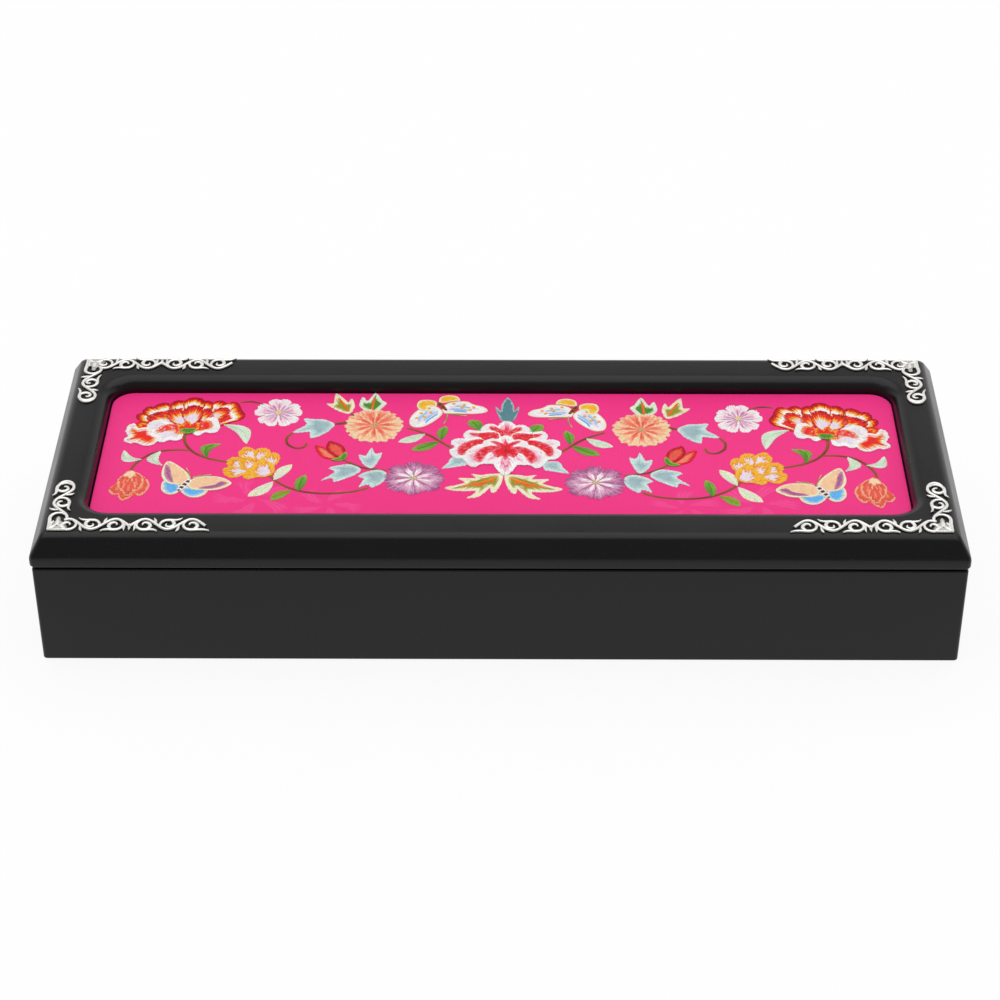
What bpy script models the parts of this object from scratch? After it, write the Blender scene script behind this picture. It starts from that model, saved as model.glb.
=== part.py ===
"""A long pen case: a lacquered wooden box whose moulded lid carries a silk panel.

The lid is one routed board with a quarter-round sunk edge round the silk, and a pierced arabesque
mount lies on each of its corners. Two butt hinges join it to the back wall. Sizes are in metres,
+X runs to the right, +Y to the back and +Z up. The origin is under the middle of the case, on the
surface that it stands on.
"""

import math

import bmesh
import bpy
from mathutils import Matrix, Vector

COLLECTION_NAME = "pen_case"
CUTTER_COLLECTION_NAME = "pen_case_cutters"

# The whole case
LID_LENGTH = 0.2500
LID_DEPTH = 0.0918
LID_THICKNESS = 0.0089
BOX_HEIGHT = 0.0310
SEAM_GAP = 0.0006
LID_OVERHANG = 0.00045

# Clearances
GLUE_GAP = 0.0003
MITRE_GAP = 0.0002
TRIM_GAP = 0.0001
CUT_OVERRUN = 0.0010

# The lid's outer moulding, from the top face down
LID_CORNER_RADIUS = 0.0015
TOP_ARRIS_RADIUS = 0.0030
SLOPE_INSET = 0.0034
SLOPE_ANGLE = math.radians(60)
NOSE_RADIUS = 0.0036
LOWER_ARRIS_RADIUS = 0.00075

# The sunk panel in the lid's top
PANEL_SIDE_MARGIN = 0.01345
PANEL_FRONT_MARGIN = 0.0153
PANEL_CORNER_RADIUS = 0.0065
SUNK_EDGE_RADIUS = 0.00365
SILK_THICKNESS = 0.0008
SILK_EDGE_RADIUS = 0.0004
CARD_THICKNESS = 0.0013

# The box
WALL_THICKNESS = 0.0065
BOX_CORNER_RADIUS = 0.0010
FOOT_ARRIS_RADIUS = 0.0006
BOTTOM_THICKNESS = 0.0030
REBATE_WIDTH = 0.0030

# The velvet-covered cards
LINING_THICKNESS = 0.0015
LINING_SET_DOWN = 0.0006
FLOOR_PAD_THICKNESS = 0.0018
LID_PAD_THICKNESS = 0.0016
LID_PAD_CLEARANCE = 0.0012
PAD_EDGE_RADIUS = 0.0005
PAD_CORNER_RADIUS = 0.0010

# The hinges
HINGE_SPACING = 0.1400
HINGE_LENGTH = 0.0240
PIN_SET_IN = 0.0009
PIN_RADIUS = 0.00075
PIN_CLEARANCE = 0.00008
PIN_END_LENGTH = 0.0002
KNUCKLE_RADIUS = 0.0016
KNUCKLE_COUNT = 5
KNUCKLE_GAP = 0.0002
KNUCKLE_CLEARANCE = 0.00025
LEAF_THICKNESS = 0.0008
LEAF_REACH = 0.0052
LEAF_GAP = 0.0002
LEAF_SEAT_GAP = 0.00015
SWING_EASE_RADIUS = 0.0012

# The hinge screws
SCREW_SPACING = 0.0130
SCREW_SET_IN = 0.0037
SCREW_HEAD_RADIUS = 0.00135
SCREW_SHANK_RADIUS = 0.0007
SCREW_LENGTH = 0.0050
SCREW_POINT_LENGTH = 0.0012
SCREW_CLEARANCE = 0.00015
SCREW_SLOT_WIDTH = 0.0004
SCREW_SLOT_DEPTH = 0.0003

# The corner mounts
MOUNT_EDGE_INSET = 0.0047
MOUNT_BAND = 0.0053
MOUNT_THICKNESS = 0.00065
MERGE_DISTANCE = 0.000002
FLAT_ANGLE = math.radians(0.5)

# How finely the round stretches are cut
LID_CORNER_STEPS = 3
PANEL_CORNER_STEPS = 6
SUNK_EDGE_STEPS = 6
ARRIS_STEPS = 4
ROUND_SIDES = 20
SCREW_SIDES = 12

# Worked out from the sizes above
HINGE_PROUD = KNUCKLE_RADIUS - PIN_SET_IN
MIDDLE_Y = -HINGE_PROUD / 2
LID_BACK_Y = MIDDLE_Y + LID_DEPTH / 2
LID_BOTTOM_Z = BOX_HEIGHT + SEAM_GAP
LID_TOP_Z = LID_BOTTOM_Z + LID_THICKNESS
BOX_HALF_LENGTH = LID_LENGTH / 2 - LID_OVERHANG
BOX_HALF_DEPTH = LID_DEPTH / 2 - LID_OVERHANG
INNER_HALF_LENGTH = BOX_HALF_LENGTH - WALL_THICKNESS
INNER_HALF_DEPTH = BOX_HALF_DEPTH - WALL_THICKNESS
SILK_Z = LID_TOP_Z - SUNK_EDGE_RADIUS
CARD_TOP_Z = SILK_Z - SILK_THICKNESS - GLUE_GAP
RECESS_FLOOR_Z = CARD_TOP_Z - CARD_THICKNESS - GLUE_GAP
PANEL_HALF_LENGTH = LID_LENGTH / 2 - PANEL_SIDE_MARGIN
PANEL_HALF_DEPTH = LID_DEPTH / 2 - PANEL_FRONT_MARGIN
PIN_Y = LID_BACK_Y - PIN_SET_IN
PIN_Z = BOX_HEIGHT + SEAM_GAP / 2
BORE_RADIUS = PIN_RADIUS + PIN_CLEARANCE

# Colour, roughness and metallic value of each finish
FINISHES = {
    "black_lacquer": ((0.022, 0.021, 0.022, 1.0), 0.38, 0.0),
    "fuchsia_silk": ((0.80, 0.035, 0.26, 1.0), 0.55, 0.0),
    "backing_card": ((0.55, 0.50, 0.42, 1.0), 0.90, 0.0),
    "wine_velvet": ((0.20, 0.010, 0.035, 1.0), 0.95, 0.0),
    "silvered_metal": ((0.82, 0.80, 0.76, 1.0), 0.35, 1.0),
    "hinge_brass": ((0.72, 0.50, 0.21, 1.0), 0.32, 1.0),
}


# The drawing of the corner mounts, in shares of the width of their band. The scroll is made of
# loops at an even step, each with a stem over it, a band on its open side and a curl inside.
LOOPS_IN_RUN = 3
LOOP_STEP_SHARE = 1.18
SHORT_LEG_LOOP_STEP_SHARE = 1.27
FIRST_LOOP_SHARE = 1.05
LONG_LEG_MIDDLE_SHARE = 4.15
LOOP_CENTRE_SHARE = 0.47
LOOP_RADIUS_SHARE = 0.40
STEM_CENTRE_SHARE = 0.51
STEM_SWING_SHARE = 0.41
STEM_LEAD_SHARES = {"corner": 0.24, "arch": 0.24, "tail": 0.72}
STEM_WIDTH_SHARES = (0.19, 0.18, 0.19)
HOOP_REACH_SHARE = 0.55
HOOP_SWEEP = math.radians(150)
BAND_START_ANGLE = math.radians(58)
BAND_WIDTH_SHARES = (0.10, 0.15, 0.18, 0.20, 0.21)
LEAF_TIP_SHARES = ((-0.33, -0.385, 0.17), (-0.54, -0.43, 0.13), (-0.69, -0.54, 0.03))
TAIL_TIP_SHARES = ((-0.36, -0.385, 0.18), (-0.66, -0.40, 0.15), (-0.94, -0.50, 0.03))
ARCH_FOOT_SHARES = ((-0.35, -0.36, 0.24), (-0.80, -0.30, 0.34))
BAND_ENDINGS = {
    "leaf": (math.radians(-100), LEAF_TIP_SHARES),
    "tail": (math.radians(-100), TAIL_TIP_SHARES),
    "corner": (math.radians(-125), ()),
    "arch": (math.radians(-95), ARCH_FOOT_SHARES),
}
CURL_START_ANGLE = math.radians(-115)
CURL_SWEEP = math.radians(285)
CURL_TIGHTNESS = 1.7
CURL_EYE_SHARE = 0.08
CURL_WIDTH_SHARES = (0.20, 0.23, 0.20, 0.15, 0.13, 0.06)
LEAF_WIDTH_SHARES = (0.08, 0.15, 0.17, 0.03)
CROSSING_LEAF_SHARES = ((0.02, 0.08), (0.04, 0.24), (0.08, 0.40), (0.15, 0.55))
MIDDLE_LEAF_SHARES = ((0.24, 0.69), (0.265, 0.45), (0.275, 0.22), (0.25, -0.04))
KEYSTONE_LEAF_SHARES = ((0.0, 0.55), (0.0, 0.40), (0.0, 0.22), (0.0, 0.0))
CORNER_BELL_SHARES = (
    (0.50, 1.13, 0.12), (0.50, 1.01, 0.27), (0.50, 0.82, 0.30), (0.53, 0.62, 0.68),
    (0.56, 0.28, 1.00), (0.56, 0.00, 1.08),
)
MOUNT_HEIGHT_SHARES = {"stem": 1.0, "corner": 0.95, "curl": 0.90, "leaf": 0.80}
STEM_STATIONS = 14
HOOP_STATIONS = 5
BAND_STATIONS = 5
CURL_STATIONS = 7


def clear_scene():
    """Remove every object, so that the script can be run again from the text editor."""
    for old in list(bpy.data.objects):
        bpy.data.objects.remove(old, do_unlink=True)
    for old in list(bpy.data.collections):
        bpy.data.collections.remove(old)


def new_collection(name):
    collection = bpy.data.collections.new(name)
    bpy.context.scene.collection.children.link(collection)
    return collection


def finish_material(node_name, finish):
    """Each piece has its own material, with the finish's colour, roughness and metallic value."""
    colour, roughness, metallic = FINISHES[finish]
    material = bpy.data.materials.new(node_name + "_" + finish)
    material.use_nodes = True
    shader = material.node_tree.nodes["Principled BSDF"]
    shader.inputs["Base Color"].default_value = colour
    shader.inputs["Roughness"].default_value = roughness
    shader.inputs["Metallic"].default_value = metallic
    material.diffuse_color = colour
    return material


def object_from_bmesh(shape, name, collection):
    """Put a bmesh into a new object, with its faces turned outwards."""
    bmesh.ops.recalc_face_normals(shape, faces=shape.faces[:])
    mesh = bpy.data.meshes.new(name)
    shape.to_mesh(mesh)
    shape.free()
    made = bpy.data.objects.new(name, mesh)
    collection.objects.link(made)
    return made


def finished_piece(shape, name, finish):
    """A visible piece of the case."""
    piece = object_from_bmesh(shape, name, case)
    piece.data.materials.append(finish_material(name, finish))
    return piece


def cutter(shape, name):
    """A shape that is only used to cut or to join."""
    made = object_from_bmesh(shape, name, cutters)
    made.hide_render = True
    made.display_type = "WIRE"
    return made


def boolean(piece, other, operation="DIFFERENCE"):
    modifier = piece.modifiers.new(operation.lower() + "_" + other.name, "BOOLEAN")
    modifier.operation = operation
    modifier.solver = "EXACT"
    modifier.object = other
    return modifier


def smooth_round_faces(piece, limit=math.radians(32)):
    piece.data.shade_smooth()
    piece.data.set_sharp_from_angle(angle=limit)


def arc(centre, radius, start, end, steps):
    """Points of an arc, both ends included. Angles are in radians, counter-clockwise from +X."""
    points = []
    for step in range(steps + 1):
        angle = start + (end - start) * step / steps
        points.append((centre[0] + radius * math.cos(angle), centre[1] + radius * math.sin(angle)))
    return points


def rounded_rectangle(half_length, half_depth, radius, corner_steps):
    """A rectangle with round corners, counter-clockwise, about the case's middle."""
    x, y = half_length - radius, half_depth - radius
    quarter = math.pi / 2
    outline = []
    for turn, (across, along) in enumerate(((x, y), (-x, y), (-x, -y), (x, -y))):
        centre = (across, MIDDLE_Y + along)
        outline += arc(centre, radius, turn * quarter, (turn + 1) * quarter, corner_steps)
    return outline


def loft(sections):
    """A closed solid through outlines of equal point counts, given as (outline, height) pairs."""
    shape = bmesh.new()
    rings = []
    for outline, height in sections:
        rings.append([shape.verts.new((x, y, height)) for x, y in outline])
    count = len(rings[0])
    for lower, upper in zip(rings, rings[1:]):
        for here in range(count):
            there = (here + 1) % count
            shape.faces.new((lower[here], lower[there], upper[there], upper[here]))
    shape.faces.new(list(reversed(rings[0])))
    shape.faces.new(rings[-1])
    return shape


def prism(outline, low_z, high_z):
    """A flat outline given a thickness."""
    shape = bmesh.new()
    base = shape.faces.new([shape.verts.new((x, y, low_z)) for x, y in outline])
    grown = bmesh.ops.extrude_face_region(shape, geom=[base])
    top = [item for item in grown["geom"] if isinstance(item, bmesh.types.BMVert)]
    bmesh.ops.translate(shape, vec=(0, 0, high_z - low_z), verts=top)
    return shape


def moulded_block(half_length, half_depth, radius, corner_steps, profile):
    """A rectangular block whose edge follows a profile of (inset, height) points."""
    sections = []
    for inset, height in profile:
        outline = rounded_rectangle(half_length - inset, half_depth - inset, radius, corner_steps)
        sections.append((outline, height))
    return loft(sections)


def box_between(low, high):
    """A plain box from its lowest to its highest corner."""
    shape = bmesh.new()
    bmesh.ops.create_cube(shape, size=1)
    size = Vector(high) - Vector(low)
    middle = (Vector(high) + Vector(low)) / 2
    bmesh.ops.scale(shape, vec=size, verts=shape.verts)
    bmesh.ops.translate(shape, vec=middle, verts=shape.verts)
    return shape


def rod_along_x(radius, start_x, end_x, y, z, sides):
    """A cylinder that lies along X."""
    shape = bmesh.new()
    bmesh.ops.create_cone(
        shape,
        cap_ends=True,
        segments=sides,
        radius1=radius,
        radius2=radius,
        depth=end_x - start_x,
        matrix=Matrix.Rotation(math.pi / 2, 4, "Y"),
    )
    bmesh.ops.translate(shape, vec=((start_x + end_x) / 2, y, z), verts=shape.verts)
    return shape


def turned(profile, name, collection):
    """A round object about its own Z axis, from a profile of (radius, height), top to bottom."""
    mesh = bpy.data.meshes.new(name)
    points = [(radius, 0, height) for radius, height in profile]
    mesh.from_pydata(points, [(upper, upper + 1) for upper in range(len(points) - 1)], [])
    made = bpy.data.objects.new(name, mesh)
    collection.objects.link(made)
    screw = made.modifiers.new("turn", "SCREW")
    screw.steps = SCREW_SIDES
    screw.render_steps = SCREW_SIDES
    screw.use_merge_vertices = True
    screw.merge_threshold = MERGE_DISTANCE
    return made


def evaluated_mesh(made):
    """The mesh that an object's modifiers make."""
    depsgraph = bpy.context.evaluated_depsgraph_get()
    return bpy.data.meshes.new_from_object(made.evaluated_get(depsgraph))


# The lid

def lid_edge_profile():
    """The lid's edge from the underside up: lower arris, nose, slope and eased top arris."""
    profile = []
    for across, up in arc((0, LOWER_ARRIS_RADIUS), LOWER_ARRIS_RADIUS, -math.pi / 2, 0, ARRIS_STEPS):
        profile.append((LOWER_ARRIS_RADIUS - across, LID_BOTTOM_Z + up))
    slope_normal = math.pi / 2 - SLOPE_ANGLE
    nose_inset = NOSE_RADIUS * (1 - math.cos(slope_normal))
    nose_top_z = LID_TOP_Z - (SLOPE_INSET - nose_inset) * math.tan(SLOPE_ANGLE)
    nose_z = nose_top_z - NOSE_RADIUS * math.sin(slope_normal)
    for across, up in arc((0, nose_z), NOSE_RADIUS, 0, slope_normal, ARRIS_STEPS):
        profile.append((NOSE_RADIUS - across, up))
    flat_inset = SLOPE_INSET + TOP_ARRIS_RADIUS * math.tan(SLOPE_ANGLE / 2)
    centre = (0, LID_TOP_Z - TOP_ARRIS_RADIUS)
    for across, up in arc(centre, TOP_ARRIS_RADIUS, slope_normal, math.pi / 2, ARRIS_STEPS + 1):
        profile.append((flat_inset - across, up))
    return profile


def sunk_panel_cutter():
    """The hollow for the silk: straight at its foot, then opening out in a quarter-round."""
    profile = [(0, RECESS_FLOOR_Z)]
    for across, up in arc((0, SILK_Z), SUNK_EDGE_RADIUS, 0, math.pi / 2, SUNK_EDGE_STEPS):
        profile.append((across, up))
    sections = []
    for across, up in profile:
        spread = 0 if up <= SILK_Z else SUNK_EDGE_RADIUS - across
        outline = rounded_rectangle(
            PANEL_HALF_LENGTH + spread,
            PANEL_HALF_DEPTH + spread,
            PANEL_CORNER_RADIUS + spread,
            PANEL_CORNER_STEPS,
        )
        sections.append((outline, up))
    sections.append((sections[-1][0], LID_TOP_Z + CUT_OVERRUN))
    return cutter(loft(sections), "sunk_panel_cutter")


def make_lid_board():
    shape = moulded_block(
        LID_LENGTH / 2, LID_DEPTH / 2, LID_CORNER_RADIUS, LID_CORNER_STEPS, lid_edge_profile()
    )
    board = finished_piece(shape, "lid_board", "black_lacquer")
    boolean(board, sunk_panel_cutter())
    smooth_round_faces(board)
    return board


def pad_profile(low_z, high_z, edge_radius):
    """A slab's edge: square at the foot and eased at the top."""
    profile = [(0, low_z)]
    for across, up in arc((0, high_z - edge_radius), edge_radius, 0, math.pi / 2, ARRIS_STEPS):
        profile.append((edge_radius - across, up))
    return profile


def make_silk_and_card():
    half_length = PANEL_HALF_LENGTH - GLUE_GAP
    half_depth = PANEL_HALF_DEPTH - GLUE_GAP
    radius = PANEL_CORNER_RADIUS - GLUE_GAP
    silk_profile = pad_profile(SILK_Z - SILK_THICKNESS, SILK_Z, SILK_EDGE_RADIUS)
    silk_shape = moulded_block(half_length, half_depth, radius, PANEL_CORNER_STEPS, silk_profile)
    silk = finished_piece(silk_shape, "embroidered_silk_panel", "fuchsia_silk")
    smooth_round_faces(silk)
    outline = rounded_rectangle(half_length, half_depth, radius, PANEL_CORNER_STEPS)
    card_shape = prism(outline, CARD_TOP_Z - CARD_THICKNESS, CARD_TOP_Z)
    card = finished_piece(card_shape, "silk_backing_card", "backing_card")
    return [silk, card]


def make_lid_pad():
    """The pad hangs from the lid, face down, and enters the box inside its linings."""
    lining_reach = GLUE_GAP + LINING_THICKNESS + LID_PAD_CLEARANCE
    top_z = LID_BOTTOM_Z - GLUE_GAP
    low_z = top_z - LID_PAD_THICKNESS
    profile = []
    for inset, height in reversed(pad_profile(low_z, top_z, PAD_EDGE_RADIUS)):
        profile.append((inset, low_z + top_z - height))
    shape = moulded_block(
        INNER_HALF_LENGTH - lining_reach,
        INNER_HALF_DEPTH - lining_reach,
        PAD_CORNER_RADIUS,
        LID_CORNER_STEPS,
        profile,
    )
    pad = finished_piece(shape, "lid_velvet_pad", "wine_velvet")
    smooth_round_faces(pad)
    return pad


# The box

def wall_profile(swing_ease):
    """A wall's section as (depth from the outer face, height), with a rebate for the bottom."""
    rebate_height = BOTTOM_THICKNESS + GLUE_GAP
    foot = arc((FOOT_ARRIS_RADIUS, FOOT_ARRIS_RADIUS), FOOT_ARRIS_RADIUS, math.pi, 1.5 * math.pi, 2)
    section = list(foot)
    section.append((WALL_THICKNESS - REBATE_WIDTH, 0))
    section.append((WALL_THICKNESS - REBATE_WIDTH, rebate_height))
    section.append((WALL_THICKNESS, rebate_height))
    section.append((WALL_THICKNESS, BOX_HEIGHT))
    centre = (swing_ease, BOX_HEIGHT - swing_ease)
    section += arc(centre, swing_ease, math.pi / 2, math.pi, ARRIS_STEPS)
    return section


def mitred_wall(name, half_span, half_reach, facing, swing_ease):
    """A board with mitred ends. It is made along X, facing -Y, and turned into its place."""
    shape = bmesh.new()
    section = wall_profile(swing_ease)
    verts = [shape.verts.new((0, -half_reach + depth, up)) for depth, up in section]
    face = shape.faces.new(verts)
    grown = bmesh.ops.extrude_face_region(shape, geom=[face])
    far_end = [item for item in grown["geom"] if isinstance(item, bmesh.types.BMVert)]
    for side, ends in ((-1, verts), (1, far_end)):
        for vert in ends:
            depth = vert.co.y + half_reach
            vert.co.x = side * (half_span - MITRE_GAP - depth)
    bmesh.ops.rotate(shape, verts=shape.verts, matrix=Matrix.Rotation(facing, 3, "Z"))
    bmesh.ops.translate(shape, verts=shape.verts, vec=(0, MIDDLE_Y, 0))
    return finished_piece(shape, name, "black_lacquer")


def make_walls():
    """Four mitred walls, whose outer corners are rounded off together."""
    quarter = math.pi / 2
    soft, eased = FOOT_ARRIS_RADIUS, SWING_EASE_RADIUS
    walls = [
        mitred_wall("box_front_wall", BOX_HALF_LENGTH, BOX_HALF_DEPTH, 0, soft),
        mitred_wall("box_right_wall", BOX_HALF_DEPTH, BOX_HALF_LENGTH, quarter, soft),
        mitred_wall("box_back_wall", BOX_HALF_LENGTH, BOX_HALF_DEPTH, 2 * quarter, eased),
        mitred_wall("box_left_wall", BOX_HALF_DEPTH, BOX_HALF_LENGTH, 3 * quarter, soft),
    ]
    outline = rounded_rectangle(
        BOX_HALF_LENGTH + MERGE_DISTANCE,
        BOX_HALF_DEPTH + MERGE_DISTANCE,
        BOX_CORNER_RADIUS,
        LID_CORNER_STEPS,
    )
    envelope_shape = prism(outline, -CUT_OVERRUN, BOX_HEIGHT + CUT_OVERRUN)
    envelope = cutter(envelope_shape, "box_corner_envelope")
    for wall in walls:
        boolean(wall, envelope, "INTERSECT")
        smooth_round_faces(wall)
    return walls


def make_bottom_board():
    half_length = INNER_HALF_LENGTH + REBATE_WIDTH - GLUE_GAP
    half_depth = INNER_HALF_DEPTH + REBATE_WIDTH - GLUE_GAP
    low = (-half_length, MIDDLE_Y - half_depth, 0)
    high = (half_length, MIDDLE_Y + half_depth, BOTTOM_THICKNESS)
    return finished_piece(box_between(low, high), "box_bottom_board", "black_lacquer")


def soft_card(name, low, high):
    """Velvet drawn over card: a slab with eased edges."""
    slab = finished_piece(box_between(low, high), name, "wine_velvet")
    ease = slab.modifiers.new("ease", "BEVEL")
    ease.width = PAD_EDGE_RADIUS
    ease.segments = 2
    smooth_round_faces(slab)
    return slab


def make_linings():
    """The wall linings stand on the bottom board, and the floor pad lies between them."""
    foot_z = BOTTOM_THICKNESS + GLUE_GAP
    rim_z = BOX_HEIGHT - LINING_SET_DOWN
    outer_x = INNER_HALF_LENGTH - GLUE_GAP
    outer_y = INNER_HALF_DEPTH - GLUE_GAP
    inner_x = outer_x - LINING_THICKNESS
    inner_y = outer_y - LINING_THICKNESS
    pieces = []
    for name, side in (("front_velvet_lining", -1), ("back_velvet_lining", 1)):
        near, far = sorted((side * inner_y, side * outer_y))
        low = (-outer_x, MIDDLE_Y + near, foot_z)
        high = (outer_x, MIDDLE_Y + far, rim_z)
        pieces.append(soft_card(name, low, high))
    for name, side in (("left_velvet_lining", -1), ("right_velvet_lining", 1)):
        near, far = sorted((side * inner_x, side * outer_x))
        low = (near, MIDDLE_Y - inner_y + GLUE_GAP, foot_z)
        high = (far, MIDDLE_Y + inner_y - GLUE_GAP, rim_z)
        pieces.append(soft_card(name, low, high))
    floor_x = inner_x - GLUE_GAP
    floor_y = inner_y - GLUE_GAP
    low = (-floor_x, MIDDLE_Y - floor_y, foot_z)
    high = (floor_x, MIDDLE_Y + floor_y, foot_z + FLOOR_PAD_THICKNESS)
    pieces.append(soft_card("floor_velvet_pad", low, high))
    return pieces


# The hinges

def knuckle_spans(middle_x, on_lid):
    """Start and end of each knuckle of one leaf: the box has the odd ones, the lid the even."""
    share = HINGE_LENGTH / KNUCKLE_COUNT
    spans = []
    for index in range(1 if on_lid else 0, KNUCKLE_COUNT, 2):
        start = middle_x - HINGE_LENGTH / 2 + index * share
        spans.append((start + KNUCKLE_GAP / 2, start + share - KNUCKLE_GAP / 2))
    return spans


def screw_places(middle_x):
    return [middle_x - SCREW_SPACING / 2, middle_x + SCREW_SPACING / 2]


def screw_profile(clearance, tip_length, overrun):
    """Half of a countersunk screw, or of the hole for one, about its own axis from the top."""
    head = SCREW_HEAD_RADIUS + clearance
    shank = SCREW_SHANK_RADIUS + clearance
    profile = [(0, overrun), (head, overrun)]
    if overrun > 0:
        profile.append((head, 0))
    profile.append((shank, -LEAF_THICKNESS))
    profile.append((shank, -SCREW_LENGTH + tip_length - clearance))
    if tip_length > 0:
        profile.append((0, -SCREW_LENGTH))
    else:
        profile.append((0, -SCREW_LENGTH - clearance))
    return profile


def screw_hole_cutter(name, x, side):
    """The hole for one screw. side is 1 where it enters upwards, into the lid."""
    hole = turned(screw_profile(SCREW_CLEARANCE, 0, LEAF_GAP), name, cutters)
    hole.hide_render = True
    hole.display_type = "WIRE"
    place_on_leaf(hole, x, side)
    return hole


def place_on_leaf(piece, x, side):
    """Stand a screw or its hole on a leaf's inner face, head towards the gap."""
    piece.location = (x, PIN_Y - SCREW_SET_IN, PIN_Z + side * LEAF_GAP / 2)
    piece.rotation_euler = (math.pi if side > 0 else 0, 0, 0)


def make_leaf(name, middle_x, side, holes):
    """A hinge leaf: a plate that grows into its knuckles. side is 1 for the lid's."""
    on_lid = side > 0
    wall_of_knuckle = (BORE_RADIUS + KNUCKLE_RADIUS) / 2
    near_z = PIN_Z + side * LEAF_GAP / 2
    far_z = PIN_Z + side * (LEAF_GAP / 2 + LEAF_THICKNESS)
    low = (middle_x - HINGE_LENGTH / 2 + KNUCKLE_GAP / 2, PIN_Y - LEAF_REACH, min(near_z, far_z))
    high = (middle_x + HINGE_LENGTH / 2 - KNUCKLE_GAP / 2, PIN_Y - wall_of_knuckle, max(near_z, far_z))
    leaf = finished_piece(box_between(low, high), name, "hinge_brass")
    clear_radius = KNUCKLE_RADIUS + KNUCKLE_CLEARANCE
    for number, (start, end) in enumerate(knuckle_spans(middle_x, not on_lid)):
        start, end = start - KNUCKLE_GAP, end + KNUCKLE_GAP
        room = rod_along_x(clear_radius, start, end, PIN_Y, PIN_Z, ROUND_SIDES)
        boolean(leaf, cutter(room, f"{name}_room_{number}"))
    for number, (start, end) in enumerate(knuckle_spans(middle_x, on_lid)):
        knuckle = rod_along_x(KNUCKLE_RADIUS, start, end, PIN_Y, PIN_Z, ROUND_SIDES)
        boolean(leaf, cutter(knuckle, f"{name}_knuckle_{number}"), "UNION")
    reach = HINGE_LENGTH / 2 + CUT_OVERRUN
    bore = rod_along_x(BORE_RADIUS, middle_x - reach, middle_x + reach, PIN_Y, PIN_Z, ROUND_SIDES)
    boolean(leaf, cutter(bore, name + "_bore"))
    for hole in holes:
        boolean(leaf, hole)
    smooth_round_faces(leaf)
    return leaf


def make_pin(name, middle_x):
    half = HINGE_LENGTH / 2 + PIN_END_LENGTH
    shape = rod_along_x(PIN_RADIUS, middle_x - half, middle_x + half, PIN_Y, PIN_Z, ROUND_SIDES)
    pin = finished_piece(shape, name, "hinge_brass")
    smooth_round_faces(pin)
    return pin


def make_screw(name, x, side):
    """A countersunk wood screw with a slotted head. Its thread is left plain."""
    screw = turned(screw_profile(0, SCREW_POINT_LENGTH, 0), name, case)
    screw.data.materials.append(finish_material(name, "hinge_brass"))
    half_width = SCREW_SLOT_WIDTH / 2
    reach = SCREW_HEAD_RADIUS + CUT_OVERRUN
    slot_shape = box_between((-half_width, -reach, -SCREW_SLOT_DEPTH), (half_width, reach, CUT_OVERRUN))
    slot = cutter(slot_shape, name + "_slot")
    place_on_leaf(screw, x, side)
    place_on_leaf(slot, x, side)
    boolean(screw, slot)
    return screw


def mortise_cutters(name, middle_x, side):
    """What the wood loses to a hinge: a bed for the leaf and a trough for the knuckles."""
    half = HINGE_LENGTH / 2 + KNUCKLE_CLEARANCE
    reach = KNUCKLE_RADIUS + KNUCKLE_CLEARANCE
    seat_z = PIN_Z + side * (LEAF_GAP / 2 + LEAF_THICKNESS + LEAF_SEAT_GAP)
    trough_z = PIN_Z + side * reach
    out_y = LID_BACK_Y + CUT_OVERRUN
    open_z = PIN_Z
    cuts = []
    for label, inner_y, deep_z in (
        ("bed", PIN_Y - LEAF_REACH - LEAF_SEAT_GAP, seat_z),
        ("trough", PIN_Y - reach, trough_z),
    ):
        low = (middle_x - half, inner_y, min(open_z, deep_z))
        high = (middle_x + half, out_y, max(open_z, deep_z))
        cuts.append(cutter(box_between(low, high), f"{name}_{label}"))
    return cuts


def make_hinges(back_wall, lid_board):
    """Two hinges, each let into the back wall's top edge and into the lid's underside."""
    box_pieces, lid_pieces = [], []
    for hand, middle_x in (("left", -HINGE_SPACING / 2), ("right", HINGE_SPACING / 2)):
        for part, side, wood, group in (
            ("box", -1, back_wall, box_pieces),
            ("lid", 1, lid_board, lid_pieces),
        ):
            stem = f"{hand}_hinge_{part}"
            holes = []
            for number, x in enumerate(screw_places(middle_x), start=1):
                holes.append(screw_hole_cutter(f"{stem}_hole_{number}", x, side))
                group.append(make_screw(f"{stem}_screw_{number}", x, side))
            for cut in mortise_cutters(stem, middle_x, side) + holes:
                boolean(wood, cut)
            group.append(make_leaf(stem + "_leaf", middle_x, side, holes))
        box_pieces.append(make_pin(hand + "_hinge_pin", middle_x))
    return box_pieces, lid_pieces


# The corner mounts are drawn on a plan whose corner is at the origin, with the long leg along +X

def eased(shares, part):
    """A value on the way through evenly spread shares."""
    place = part * (len(shares) - 1)
    step = min(int(place), len(shares) - 2)
    return shares[step] + (shares[step + 1] - shares[step]) * (place - step)


def around(centre_along, centre_across, reach, turn, width):
    """A station on a round stretch: where it lies along and across the band, and its width."""
    along = centre_along + reach * math.cos(turn)
    across = centre_across + reach * math.sin(turn)
    return (along, across, width)


def winding_stem(last_loop, step, start, end, hooped):
    """The stem winds along the leg as a wave whose last crest is over the last loop."""
    stations = []
    for index in range(STEM_STATIONS + 1):
        part = index / STEM_STATIONS
        along = start + (end - start) * part
        wave = math.cos(math.pi * (along - last_loop) / step)
        across = STEM_CENTRE_SHARE + STEM_SWING_SHARE * wave
        stations.append((along, across, eased(STEM_WIDTH_SHARES, part)))
    if hooped:
        for index in range(1, HOOP_STATIONS + 1):
            turn = HOOP_SWEEP * index / HOOP_STATIONS
            along = last_loop + HOOP_REACH_SHARE * math.sin(turn)
            across = STEM_CENTRE_SHARE + STEM_SWING_SHARE * math.cos(turn)
            stations.append((along, across, STEM_WIDTH_SHARES[-1]))
    return stations


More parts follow.
